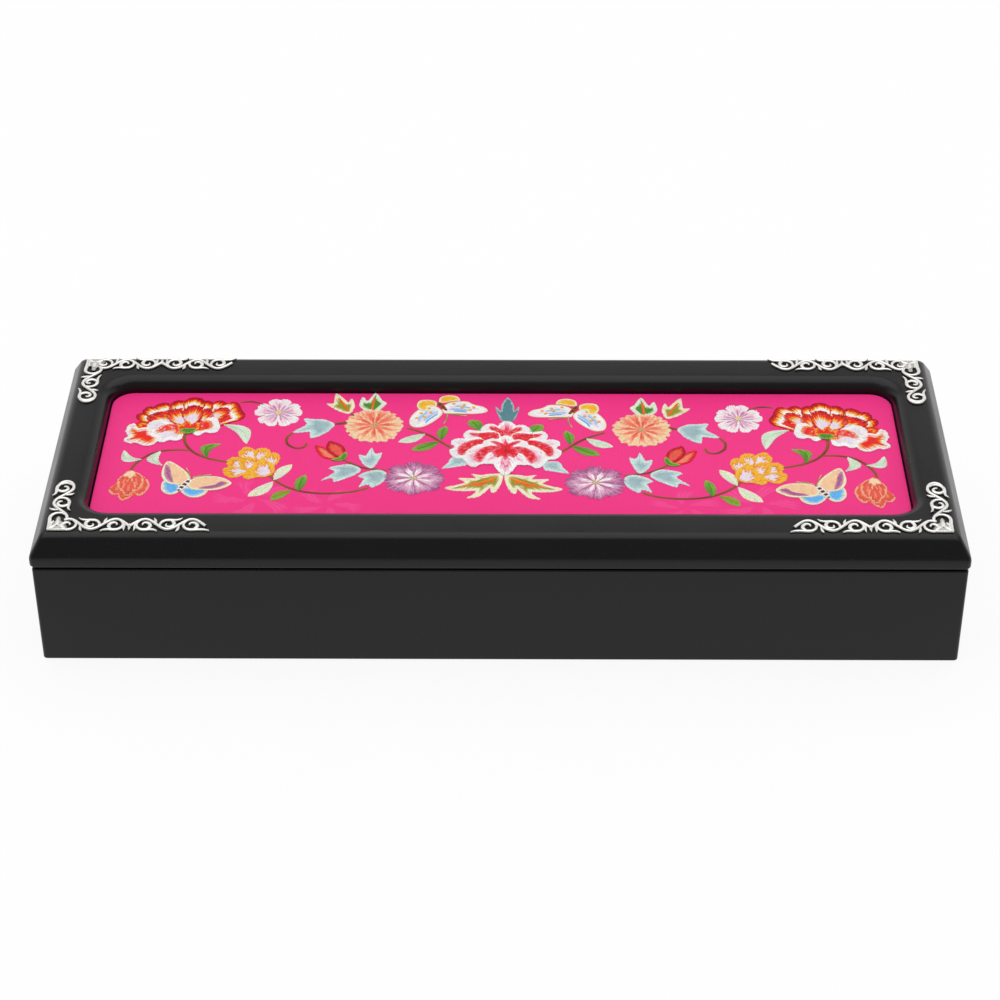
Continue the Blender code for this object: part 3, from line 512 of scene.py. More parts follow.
# The shades of a patch from its rim inwards, each with the depth in millimetres that it takes up.
# Before them come how ragged the shades meet, and how much thinner they are on the flanks.
REST = 99
SHADINGS = {
    "peony": (0.45, 1.0, ((1.1, "white"), (0.7, "pale blush"), (REST, "blush"))),
    "peony top": (0.6, 1.2, ((1.1, "white"), (1.2, "blush"), (0.7, "rose"), (REST, "red"))),
    "peony foot": (0.6, 1.0, ((1.4, "white"), (1.0, "blush"), (0.5, "rose"), (REST, "blush"))),
    "peony streak": (0.5, 0.8, ((0.15, "rose"), (REST, "red"))),
    "peony heart": (0.5, 0.8, ((0.25, "rose"), (1.4, "red"), (REST, "deep red"))),
    "flame": (0.5, 2.8, ((0.6, "deep red"), (0.9, "scarlet"), (0.8, "gold"), (1.5, "white"),
                         (REST, "scarlet"))),
    "ember": (0.6, 1.4, ((1.1, "scarlet"), (0.3, "orange"), (0.5, "gold"), (REST, "scarlet"))),
    "lick": (1.0, 6.0, ((0.6, "deep red"), (1.9, "scarlet"), (0.4, "orange"), (0.9, "gold"),
                        (REST, "lilac white"))),
    "frill": (0.8, 0.9, ((0.8, "white"), (0.2, "gold"), (0.5, "orange"), (REST, "scarlet"))),
    "pale frill": (0.5, 1.0, ((1.5, "white"), (REST, "lilac white"))),
    "glow": (0.5, 1.6, ((0.2, "gold"), (0.4, "orange"), (REST, "scarlet"))),
    "calyx": (0.2, 1.0, ((0.3, "grass"), (REST, "leaf green"))),
    "gold rim": (0.9, 2.6, ((1.5, "gold"), (0.9, "amber"), (REST, "lilac white"))),
    "gold edge": (1.1, 4.0, ((1.6, "gold"), (1.0, "amber"), (REST, "lilac white"))),
    "coral": (0.4, 1.3, ((0.45, "peach"), (1.5, "coral"), (REST, "salmon"))),
    "coral base": (0.9, 1.0, ((1.0, "coral"), (REST, "salmon"))),
    "coral top": (0.3, 1.5, ((0.3, "salmon"), (REST, "buff"))),
    "pink": (0.7, 1.1, ((0.9, "white"), (0.8, "pale blush"), (1.4, "blush"), (REST, "lilac"))),
    "pink streak": (0.4, 1.0, ((0.3, "lilac"), (REST, "mauve"))),
    "peach": (0.9, 1.4, ((1.2, "buff"), (1.6, "peach"), (REST, "salmon"))),
    "deep peach": (0.9, 1.4, ((0.5, "buff"), (1.0, "peach"), (1.4, "salmon"), (REST, "coral"))),
    "peach streak": (0.4, 1.0, ((0.3, "salmon"), (REST, "coral"))),
    "purple": (1.3, 1.2, ((0.3, "plum"), (1.3, "mauve"), (1.6, "lilac"), (REST, "pale blush"))),
    "deep purple": (1.3, 1.2, ((0.9, "plum"), (1.3, "mauve"), (1.2, "lilac"), (REST, "blush"))),
    "purple streak": (0.5, 1.0, ((0.3, "blush"), (REST, "white"))),
    "bud": (0.3, 1.3, ((0.8, "red"), (0.4, "coral"), (REST, "salmon"))),
    "bud shade": (0.3, 1.3, ((0.7, "deep red"), (0.6, "red"), (REST, "coral"))),
    "lobed leaf": (0.6, 1.3, ((0.8, "aqua"), (0.9, "blue grey"), (REST, "slate"))),
    "teal leaf": (0.2, 1.0, ((0.35, "pale teal"), (REST, "teal"))),
    "cream leaf": (0.3, 1.0, ((0.75, "cream"), (0.35, "straw"), (REST, "olive"))),
    "green leaf": (0.3, 1.0, ((0.75, "pale mint"), (0.3, "mint"), (REST, "leaf green"))),
    "broad leaf": (0.5, 1.0, ((1.1, "cream"), (0.4, "straw"), (0.8, "olive"), (REST, "orange"))),
    "white wing": (0.7, 1.0, ((1.6, "white"), (REST, "lilac white"))),
    "gold wing": (0.3, 1.0, ((0.4, "pale yellow"), (REST, "gold"))),
    "peach wing": (0.2, 1.0, ((0.4, "cream"), (REST, "pale peach"))),
    "purple band": (0.3, 1.0, ((0.3, "mauve"), (REST, "plum"))),
    "blue wing": (0.3, 1.0, ((0.35, "cream"), (0.6, "pale blue"), (REST, "sky"))),
}

# The shades along a stem or a feeler
FEELER_SILKS = ((0, "straw"), (0.5, "olive"), (1, "straw"))
STEM_SILKS = ((0, "brown"), (0.5, "deep brown"), (1, "brown"))


# The finishes

def black_lacquer():
    """Satin black lacquer with a faint orange peel, fine dust and a little rub on its surface."""
    finish = Finish("black_lacquer")
    plain = finish.place()
    peel = finish.noise(plain, PEEL_WAVES, 2.0)
    cloud = finish.noise(plain, LACQUER_CLOUD_WAVES, 3.0, 0.6)
    speck = finish.between(finish.noise(plain, DUST_WAVES, 1.0), 0.70, 0.80)
    colour = finish.mix(cloud, shade(12, 11, 13), shade(18, 16, 17))
    colour = finish.mix(speck * 0.25, colour, shade(90, 86, 84))
    grain = finish.noise(finish.place(LACQUER_GRAIN_WAVES), 1.0, 3.0, 0.6)
    roughness = finish.between(cloud, 0.3, 0.7, 0.25, 0.33) + speck * 0.2
    height = peel * 0.6 + grain * 0.4
    return finish.surface(
        Base_Color=colour,
        Roughness=roughness,
        IOR=1.36,
        Normal=finish.bump(height, LACQUER_DEPTH),
    )


def fuchsia_silk():
    """Satin-woven silk: fine threads both ways and a faint tone-on-tone leafy damask."""
    finish = Finish("fuchsia_silk")
    weave = woven_threads(finish, "X", WARP_WAVES) * 0.5 + woven_threads(finish, "Y", WEFT_WAVES) * 0.5
    damask = damask_rosettes(finish)
    cloud = finish.noise(finish.place(), SILK_CLOUD_WAVES, 2.0)
    cloth = finish.mix(cloud, shade(240, 44, 130), shade(248, 54, 140))
    cloth = finish.mix(damask * 0.27, cloth, shade(255, 112, 176))
    cloth = finish.mix((1 - weave) * 0.16, cloth, shade(196, 24, 96))
    return finish.surface(
        Base_Color=cloth,
        Roughness=0.55 - damask * 0.1,
        Specular_IOR_Level=0.2,
        Normal=finish.bump(weave, WEAVE_DEPTH, 0.7),
    )


def woven_threads(finish, direction, waves):
    """The silk's threads that lie one way, a little uneven."""
    bands = finish.node(
        "ShaderNodeTexWave", {"wave_type": "BANDS", "bands_direction": direction},
        Vector=finish.place(), Scale=waves, Distortion=1.5, Detail=1.0, Detail_Scale=3.0,
    )
    return finish.out(bands, "Fac")


def damask_rosettes(finish):
    """How far a point is inside the faint leaves woven into the silk, four rosettes of them."""
    along, across, _ = finish.parts(finish.place())
    edge = finish.noise(finish.place(), LEAF_EDGE_WAVES, 2.0)
    ripple = finish.between(edge, 0.3, 0.7, -0.5, 0.5)
    woven = None
    for x, y, reach, leaves, turn in ROSETTES:
        left = along - x * MM
        up = (across - (MIDDLE_Y + y * MM)) * ROSETTE_SQUASH
        distance = finish.sum("SQRT", left * left + up * up) / (reach * MM)
        angle = finish.sum("ARCTAN2", up, left) + turn
        petal = finish.sum("COSINE", angle * leaves + distance * ROSETTE_TWIST + ripple)
        leaf = finish.between(petal, 0.1, 0.6)
        veins = finish.sum("COSINE", angle * leaves * LEAF_VEINS + distance * VEIN_WAVES)
        vein = finish.between(veins, -0.3, 0.6, 0.45, 1.0)
        ring = finish.between(distance, 0.12, 0.3) * finish.between(distance, 1.0, 0.75)
        rosette = leaf * vein * ring
        woven = rosette if woven is None else woven + rosette
    return woven


def silk_thread():
    """Floss silk: each thread keeps its dyed colour, with fine strands along it, painted shade between
    them and a soft gloss.
    """
    finish = Finish("silk_thread")
    dyed = finish.node("ShaderNodeAttribute", {"attribute_name": "thread_colour"})
    strand = finish.noise(finish.place(), STRAND_WAVES, 2.0, 0.6)
    # Painted shade: each thread is darkened between its strands.
    painted_strand_shade = finish.between(strand, 0.35, 0.7) * 0.16
    dark = (0.05, 0.03, 0.04, 1)
    colour = finish.mix(painted_strand_shade, finish.out(dyed, "Color"), dark, "MULTIPLY")
    return finish.surface(
        Base_Color=colour,
        Roughness=finish.between(strand, 0.3, 0.7, 0.40, 0.56),
        Specular_IOR_Level=0.25,
        Normal=finish.bump(strand, STRAND_DEPTH, 0.6),
    )


def wine_velvet(name, nap):
    """Short-pile velvet that catches the light where the pile is brushed."""
    finish = Finish(name)
    brushed = finish.noise(finish.place(nap), 1.0, 3.0, 0.6)
    pile = finish.noise(finish.place(), PILE_WAVES, 2.0)
    colour = finish.mix(finish.between(brushed, 0.35, 0.65), shade(92, 8, 30), shade(132, 18, 46))
    colour = finish.mix(finish.between(pile, 0.3, 0.7) * 0.35, colour, shade(60, 4, 18))
    return finish.surface(
        Base_Color=colour,
        Roughness=0.92,
        Sheen_Weight=0.8,
        Sheen_Roughness=0.35,
        Sheen_Tint=shade(214, 92, 120),
        Normal=finish.bump(pile + brushed * 0.5, PILE_DEPTH, 0.6),
    )


def drawn_brass(name, bright, dull):
    """Drawn brass, brushed along the hinge and a little tarnished."""
    finish = Finish(name)
    drawn = finish.noise(finish.place(BRUSHED_WAVES), 1.0, 2.0)
    tarnish = finish.noise(finish.place(), TARNISH_WAVES, 3.0, 0.6)
    colour = finish.mix(finish.between(tarnish, 0.4, 0.75), bright, dull)
    return finish.surface(
        Base_Color=colour,
        Metallic=1.0,
        Roughness=finish.between(tarnish, 0.3, 0.8, 0.24, 0.46),
        Normal=finish.bump(drawn, BRUSHED_DEPTH, 0.6),
    )


def silvered_metal():
    """Cast and silvered metal, matt on its fine grain and darker low down."""
    finish = Finish("silvered_metal")
    grain = finish.noise(finish.place(), SILVER_GRAIN_WAVES, 3.0, 0.6)
    cloud = finish.noise(finish.place(), SILVER_CLOUD_WAVES, 2.0)
    colour = finish.mix(cloud, shade(236, 234, 228), shade(250, 249, 246))
    colour = finish.mix(finish.between(grain, 0.55, 0.8) * 0.3, colour, shade(176, 172, 164))
    height = finish.parts(finish.place())[2]
    dark_z, bright_z = MOUNT_FOOT_Z + MOUNT_DARK_RISE, MOUNT_FOOT_Z + MOUNT_BRIGHT_RISE
    low_down = finish.between(height, dark_z, bright_z, 1.0, 0.0)
    colour = finish.mix(low_down * 0.8, colour, shade(96, 90, 82))
    return finish.surface(
        Base_Color=colour,
        Metallic=0.85,
        Roughness=finish.between(cloud, 0.3, 0.7, 0.34, 0.44),
        Normal=finish.bump(grain, SILVER_DEPTH, 0.6),
    )


def pressed_card():
    """Grey-brown card with its fibres."""
    finish = Finish("pressed_card")
    fibre = finish.noise(finish.place(CARD_FIBRE_WAVES), 1.0, 4.0, 0.7)
    colour = finish.mix(fibre, shade(168, 152, 124), shade(206, 192, 164))
    return finish.surface(
        Base_Color=colour,
        Roughness=0.9,
        Normal=finish.bump(fibre, CARD_DEPTH, 0.6),
    )


# Shapes

def arc(centre, radius, start, end, steps):
    """Points of an arc, both ends included."""
    points = []
    for step in range(steps + 1):
        angle = start + (end - start) * step / steps
        points.append((centre[0] + radius * math.cos(angle), centre[1] + radius * math.sin(angle)))
    return points


def plan_ring(half_length, front_y, back_y, radius):
    """A rectangle with round corners, whose straight runs are cut up as well."""
    x = half_length - radius
    low, high = front_y + radius, back_y - radius
    outline = []
    for turn, centre in enumerate(((x, high), (-x, high), (-x, low), (x, low))):
        corner = arc(centre, radius, turn * QUARTER, (turn + 1) * QUARTER, CORNER_STEPS)
        if outline:
            outline += run_between(outline[-1], corner[0])
        outline += corner
    outline += run_between(outline[-1], outline[0])
    return outline


def run_between(start, end):
    """The points between two corners, without its ends."""
    points = []
    for step in range(1, STRAIGHT_STEPS):
        part = step / STRAIGHT_STEPS
        points.append((start[0] + (end[0] - start[0]) * part, start[1] + (end[1] - start[1]) * part))
    return points


def loft(name, sections):
    """A closed solid through rings of equal point counts, given as (ring, height) pairs."""
    shape = bmesh.new()
    rings = []
    for outline, height in sections:
        rings.append([shape.verts.new((x, y, height)) for x, y in outline])
    count = len(rings[0])
    for lower, upper in zip(rings, rings[1:]):
        for here in range(count):
            there = (here + 1) % count
            shape.faces.new((lower[here], lower[there], upper[there], upper[here]))
    shape.faces.new(list(reversed(rings[0])))
    shape.faces.new(rings[-1])
    return object_from(shape, name)


def object_from(shape, name):
    """A new object from a mesh in the making, with its faces turned outward."""
    bmesh.ops.recalc_face_normals(shape, faces=shape.faces[:])
    mesh = bpy.data.meshes.new(name)
    shape.to_mesh(mesh)
    shape.free()
    return placed(name, mesh)


def placed(name, data):
    """A new object in the scene, for a mesh, a lamp or a camera."""
    made = bpy.data.objects.new(name, data)
    bpy.context.scene.collection.objects.link(made)
    return made


def smooth(piece):
    """Round shading, except over edges that are sharp."""
    piece.data.shade_smooth()
    piece.data.set_sharp_from_angle(angle=SHARP_ANGLE)


def give(piece, material):
    """Cover a piece with one material."""
    piece.data.materials.clear()
    piece.data.materials.append(material)


def cut_boxes(piece, boxes):
    """Take boxes out of a piece, each from its lowest to its highest corner."""
    tools = []
    for low, high in boxes:
        shape = bmesh.new()
        bmesh.ops.create_cube(shape, size=1)
        bmesh.ops.scale(shape, vec=Vector(high) - Vector(low), verts=shape.verts)
        bmesh.ops.translate(shape, vec=(Vector(high) + Vector(low)) / 2, verts=shape.verts)
        tool = object_from(shape, piece.name + "_cut")
        difference = piece.modifiers.new("cut", "BOOLEAN")
        difference.operation = "DIFFERENCE"
        difference.solver = "EXACT"
        difference.object = tool
        tools.append(tool)
    settle(piece)
    for tool in tools:
        bpy.data.objects.remove(tool, do_unlink=True)


def settle(piece):
    """Make what the modifiers give the piece's own mesh, and take the modifiers off."""
    depsgraph = bpy.context.evaluated_depsgraph_get()
    mesh = bpy.data.meshes.new_from_object(piece.evaluated_get(depsgraph))
    piece.modifiers.clear()
    piece.data = mesh


# The lid and the box

def lid_edge_profile():
    """The lid's edge as (inset, height), from its underside up to its flat top."""
    profile = []
    for across, up in arc((0, LOWER_ARRIS_RADIUS), LOWER_ARRIS_RADIUS, -QUARTER, 0, ARRIS_STEPS):
        profile.append((LOWER_ARRIS_RADIUS - across, LID_BOTTOM_Z + up))
    slope_normal = QUARTER - SLOPE_ANGLE
    nose_inset = NOSE_RADIUS * (1 - math.cos(slope_normal))
    nose_top_z = LID_TOP_Z - (SLOPE_INSET - nose_inset) * math.tan(SLOPE_ANGLE)
    nose_z = nose_top_z - NOSE_RADIUS * math.sin(slope_normal)
    for across, up in arc((0, nose_z), NOSE_RADIUS, 0, slope_normal, ARRIS_STEPS):
        profile.append((NOSE_RADIUS - across, up))
    flat_inset = SLOPE_INSET + TOP_ARRIS_RADIUS * math.tan(SLOPE_ANGLE / 2)
    centre = (0, LID_TOP_Z - TOP_ARRIS_RADIUS)
    for across, up in arc(centre, TOP_ARRIS_RADIUS, slope_normal, QUARTER, 2 * ARRIS_STEPS):
        profile.append((flat_inset - across, up))
    return profile


def centred_ring(half_length, half_depth, radius):
    """A rectangle with round corners about the middle of the case."""
    return plan_ring(half_length, MIDDLE_Y - half_depth, MIDDLE_Y + half_depth, radius)


def panel_ring(spread):
    """The outline of the panel's opening, or one that lies outside it by the spread."""
    half_length = LID_LENGTH / 2 - PANEL_SIDE_MARGIN + spread
    half_depth = LID_DEPTH / 2 - PANEL_FRONT_MARGIN + spread
    return centred_ring(half_length, half_depth, PANEL_CORNER_RADIUS + spread)


def make_lid(lacquer):
    """The moulded board: up its outer edge, over the top and down the sunk quarter-round."""
    sections = []
    for inset, height in lid_edge_profile():
        ring = centred_ring(LID_LENGTH / 2 - inset, LID_DEPTH / 2 - inset, LID_CORNER_RADIUS)
        sections.append((ring, height))
    for across, up in reversed(arc((0, SUNK_EDGE_Z), SUNK_EDGE_RADIUS, 0, QUARTER, 2 * ARRIS_STEPS)):
        sections.append((panel_ring(SUNK_EDGE_RADIUS - across), up))
    sections.append((panel_ring(0), RECESS_FLOOR_Z))
    lid = loft("moulded_lid", sections)
    cut_boxes(lid, hinge_beds(1))
    smooth(lid)
    give(lid, lacquer)
    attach(lid, "lid")
    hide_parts("lid_board")


def hinge_beds(side):
    """What the wood loses to each hinge: a bed for the leaf and a trough for its knuckles. side is
    1 for the lid and -1 for the box."""
    beds = []
    for hand in ("left", "right"):
        part = "lid" if side > 0 else "box"
        low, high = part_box(f"{hand}_hinge_{part}_leaf")
        pin_low, pin_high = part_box(f"{hand}_hinge_pin")
        axis_z = (pin_low[2] + pin_high[2]) / 2
        axis_y = (pin_low[1] + pin_high[1]) / 2
        knuckle = high[1] - axis_y + KNUCKLE_CLEARANCE
        seat_z = axis_z + side * (HINGE_LEAF_RISE + LEAF_SEAT_GAP)
        out_y = high[1] + knuckle
        start_x = low[0] - KNUCKLE_CLEARANCE
        end_x = high[0] + KNUCKLE_CLEARANCE
        for inner_y, deep_z in (
            (low[1] - LEAF_SEAT_GAP, seat_z), (axis_y - knuckle, axis_z + side * knuckle)
        ):
            low_z, high_z = sorted((axis_z, deep_z))
            beds.append(((start_x, inner_y, low_z), (end_x, out_y, high_z)))
    return beds


def box_ring(inset, back_inset):
    """The outline of the box, set in at the front and the ends and by its own inset at the back."""
    half_length = LID_LENGTH / 2 - LID_OVERHANG - inset
    half_depth = LID_DEPTH / 2 - LID_OVERHANG
    front_y, back_y = MIDDLE_Y - half_depth + inset, MIDDLE_Y + half_depth - back_inset
    return plan_ring(half_length, front_y, back_y, BOX_CORNER_RADIUS)


def make_box(lacquer):
    """Walls and bottom as the lacquer joins them: one skin with no line at the mitres."""
    sections = []
    for across, up in arc((0, FOOT_ARRIS_RADIUS), FOOT_ARRIS_RADIUS, -QUARTER, 0, ARRIS_STEPS):
        inset = FOOT_ARRIS_RADIUS - across
        sections.append((box_ring(inset, inset), up))
    for step in range(ARRIS_STEPS + 1):
        turn = QUARTER * step / ARRIS_STEPS
        inset = FOOT_ARRIS_RADIUS * (1 - math.cos(turn))
        back_inset = SWING_EASE_RADIUS * (1 - math.cos(turn))
        drop = FOOT_ARRIS_RADIUS * (1 - math.sin(turn))
        sections.append((box_ring(inset, back_inset), BOX_HEIGHT - drop))
    ease = RIM_EASE_RADIUS
    for across, up in arc((0, BOX_HEIGHT - ease), ease, QUARTER, 0, ARRIS_STEPS // 2):
        inset = WALL_THICKNESS - ease + across
        sections.append((box_ring(inset, inset), up))
    sections.append((box_ring(WALL_THICKNESS, WALL_THICKNESS), FLOOR_TOP_Z))
    box = loft("lacquered_box", sections)
    cut_boxes(box, hinge_beds(-1))
    smooth(box)
    give(box, lacquer)
    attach(box, "box")
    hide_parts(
        "box_front_wall", "box_back_wall", "box_left_wall", "box_right_wall", "box_bottom_board"
    )


# The silk

def make_silk(silk_finish):
    """The silk drawn over its card: flat on top, and turned down at its edges."""
    radius = SILK_EDGE_RADIUS
    sections = [(panel_ring(-SILK_GAP), SILK_Z - radius - SILK_TURN_DOWN)]
    for across, up in arc((0, SILK_Z - radius), radius, 0, QUARTER, ARRIS_STEPS // 2):
        sections.append((panel_ring(across - SILK_GAP - radius), up))
    silk = loft("stretched_silk", sections)
    smooth(silk)
    give(silk, silk_finish)
    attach(silk, "lid")
    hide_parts("embroidered_silk_panel")


# The embroidery's drawing, in millimetres from the middle of the silk. A patch is given as its
# shades, its layer, the point that its threads spread from and the points of its outline.
PEONY_MIDDLE = (
    ("teal leaf", 1, (1.8, 14.6), ((0.4, 16.4), (-0.9, 19.6), (-1.6, 23.4), (-0.1, 21.2), (0.2, 24.4),
     (1.8, 28.0), (3.4, 24.6), (3.7, 21.2), (5.0, 23.4), (4.5, 19.6), (3.2, 16.4))),
    ("peony top", 1, (1.4, 6.6), ((-1.2, 11.6), (-0.9, 13.8), (0.2, 15.6), (1.5, 16.5), (3.0, 15.6),
     (4.2, 13.8), (4.4, 11.6), (3.2, 9.2), (1.4, 8.2), (-0.4, 9.2))),
    ("peony foot", 5, (1.3, 2.0), ((1.3, 8.9), (-0.2, 8.2), (-0.8, 6.6), (-0.2, 4.6), (1.3, 3.8),
     (2.8, 4.6), (3.4, 6.6), (2.8, 8.2))),
    ("peony foot", 5, (1.3, 1.6), ((-1.6, -1.4), (-2.0, -4.4), (-1.2, -7.0), (0.2, -9.6),
     (1.1, -10.2), (2.4, -9.4), (3.8, -7.0), (4.7, -4.4), (4.3, -1.4), (2.8, 0.8), (-0.2, 0.8))),
    ("peony heart", 6, (1.3, 2.0), ((1.3, 6.9), (0.6, 4.9), (-1.4, 6.0), (-3.0, 5.8), (-1.0, 3.9),
     (-0.8, 2.9), (-2.2, 1.6), (-2.1, -0.4), (-0.9, -2.0), (0.4, -1.2), (1.3, -3.0), (2.2, -1.2),
     (3.5, -2.0), (4.7, -0.4), (4.8, 1.6), (3.4, 2.9), (3.6, 3.9), (5.6, 5.8), (4.0, 6.0),
     (2.0, 4.9))),
)
PEONY_SIDE = (
    ("peony", 1, (1.2, 8.2), ((0.2, 9.4), (-0.4, 12.4), (-1.6, 14.3), (-3.4, 14.9), (-5.2, 13.6),
     (-6.3, 11.4), (-5.8, 10.0), (-3.0, 9.2))),
    ("peony streak", 1.6, (1.4, 6.6), ((-3.5, 13.0), (-2.0, 13.7), (-0.2, 12.4), (1.1, 11.6),
     (1.2, 8.6), (-0.6, 9.2), (-2.1, 11.2))),
    ("peony", 2, (1.0, 5.4), ((-0.6, 10.4), (-3.0, 11.5), (-6.2, 11.2), (-9.0, 11.7), (-10.5, 9.8),
     (-10.1, 7.6), (-8.2, 6.2), (-4.6, 5.6), (-1.0, 6.0), (-0.2, 8.2))),
    ("peony streak", 2.6, (1.0, 5.4), ((-9.2, 10.2), (-6.4, 10.2), (-3.4, 10.6), (-1.0, 10.2),
     (-0.7, 7.2), (-2.6, 6.2), (-5.0, 6.3), (-6.6, 7.9))),
    ("peony", 3, (-0.6, 2.6), ((-4.6, 6.6), (-6.6, 8.3), (-9.0, 7.2), (-11.8, 7.6), (-13.7, 6.6),
     (-13.9, 4.9), (-13.0, 3.4), (-14.4, 1.6), (-13.6, -0.8), (-11.8, -2.0), (-8.6, -1.6),
     (-6.0, 1.6), (-4.2, 4.0))),
    ("peony streak", 3.6, (-0.6, 2.6), ((-11.9, 0.0), (-11.9, 3.2), (-9.8, 5.7), (-7.2, 7.0),
     (-4.9, 6.8), (-4.8, 4.2), (-7.1, 2.8), (-8.5, 0.5), (-10.2, -0.7))),
    ("peony", 4, (1.0, 2.4), ((-0.8, 4.1), (-3.6, 5.0), (-6.6, 4.4), (-9.0, 2.2), (-10.7, -1.4),
     (-9.8, -3.8), (-8.8, -5.4), (-7.2, -6.3), (-5.6, -5.0), (-3.6, -4.4), (-1.6, -4.4), (0.0, 0.6))),
    ("peony streak", 4.5, (1.0, 2.4), ((-0.2, 3.5), (-3.3, 3.9), (-5.8, 2.1), (-7.4, -0.8),
     (-7.3, -3.1), (-6.0, -4.3), (-4.5, -2.6), (-3.8, -0.8), (-2.9, 0.6), (-1.0, 1.1))),
    ("peony foot", 4.8, (1.3, 2.0), ((-0.2, 1.6), (-2.6, 1.0), (-4.2, -0.8), (-5.0, -3.2),
     (-4.0, -4.9), (-2.4, -4.6), (-0.8, -4.9), (0.4, -3.0), (0.8, 0.0))),
    ("peony", 4.9, (1.3, 2.2), ((0.2, 6.2), (-2.4, 7.4), (-4.7, 6.0), (-4.8, 4.6), (-3.0, 4.4),
     (-0.6, 3.8), (0.8, 3.0))),
)
BROAD_LEAF = (
    ("broad leaf", 1, (1.0, -8.6), ((0.4, -9.3), (-3.0, -9.4), (-5.4, -9.9), (-7.9, -9.4),
     (-7.0, -11.2), (-9.2, -11.4), (-11.6, -11.4), (-9.8, -13.3), (-12.2, -14.6), (-15.2, -15.7),
     (-13.4, -17.0), (-9.6, -17.3), (-6.8, -17.2), (-7.4, -18.8), (-9.0, -20.5), (-6.2, -20.0),
     (-4.2, -17.8), (-3.0, -15.8), (-2.3, -18.0), (-1.0, -17.0), (0.2, -13.6), (0.6, -10.5))),
)
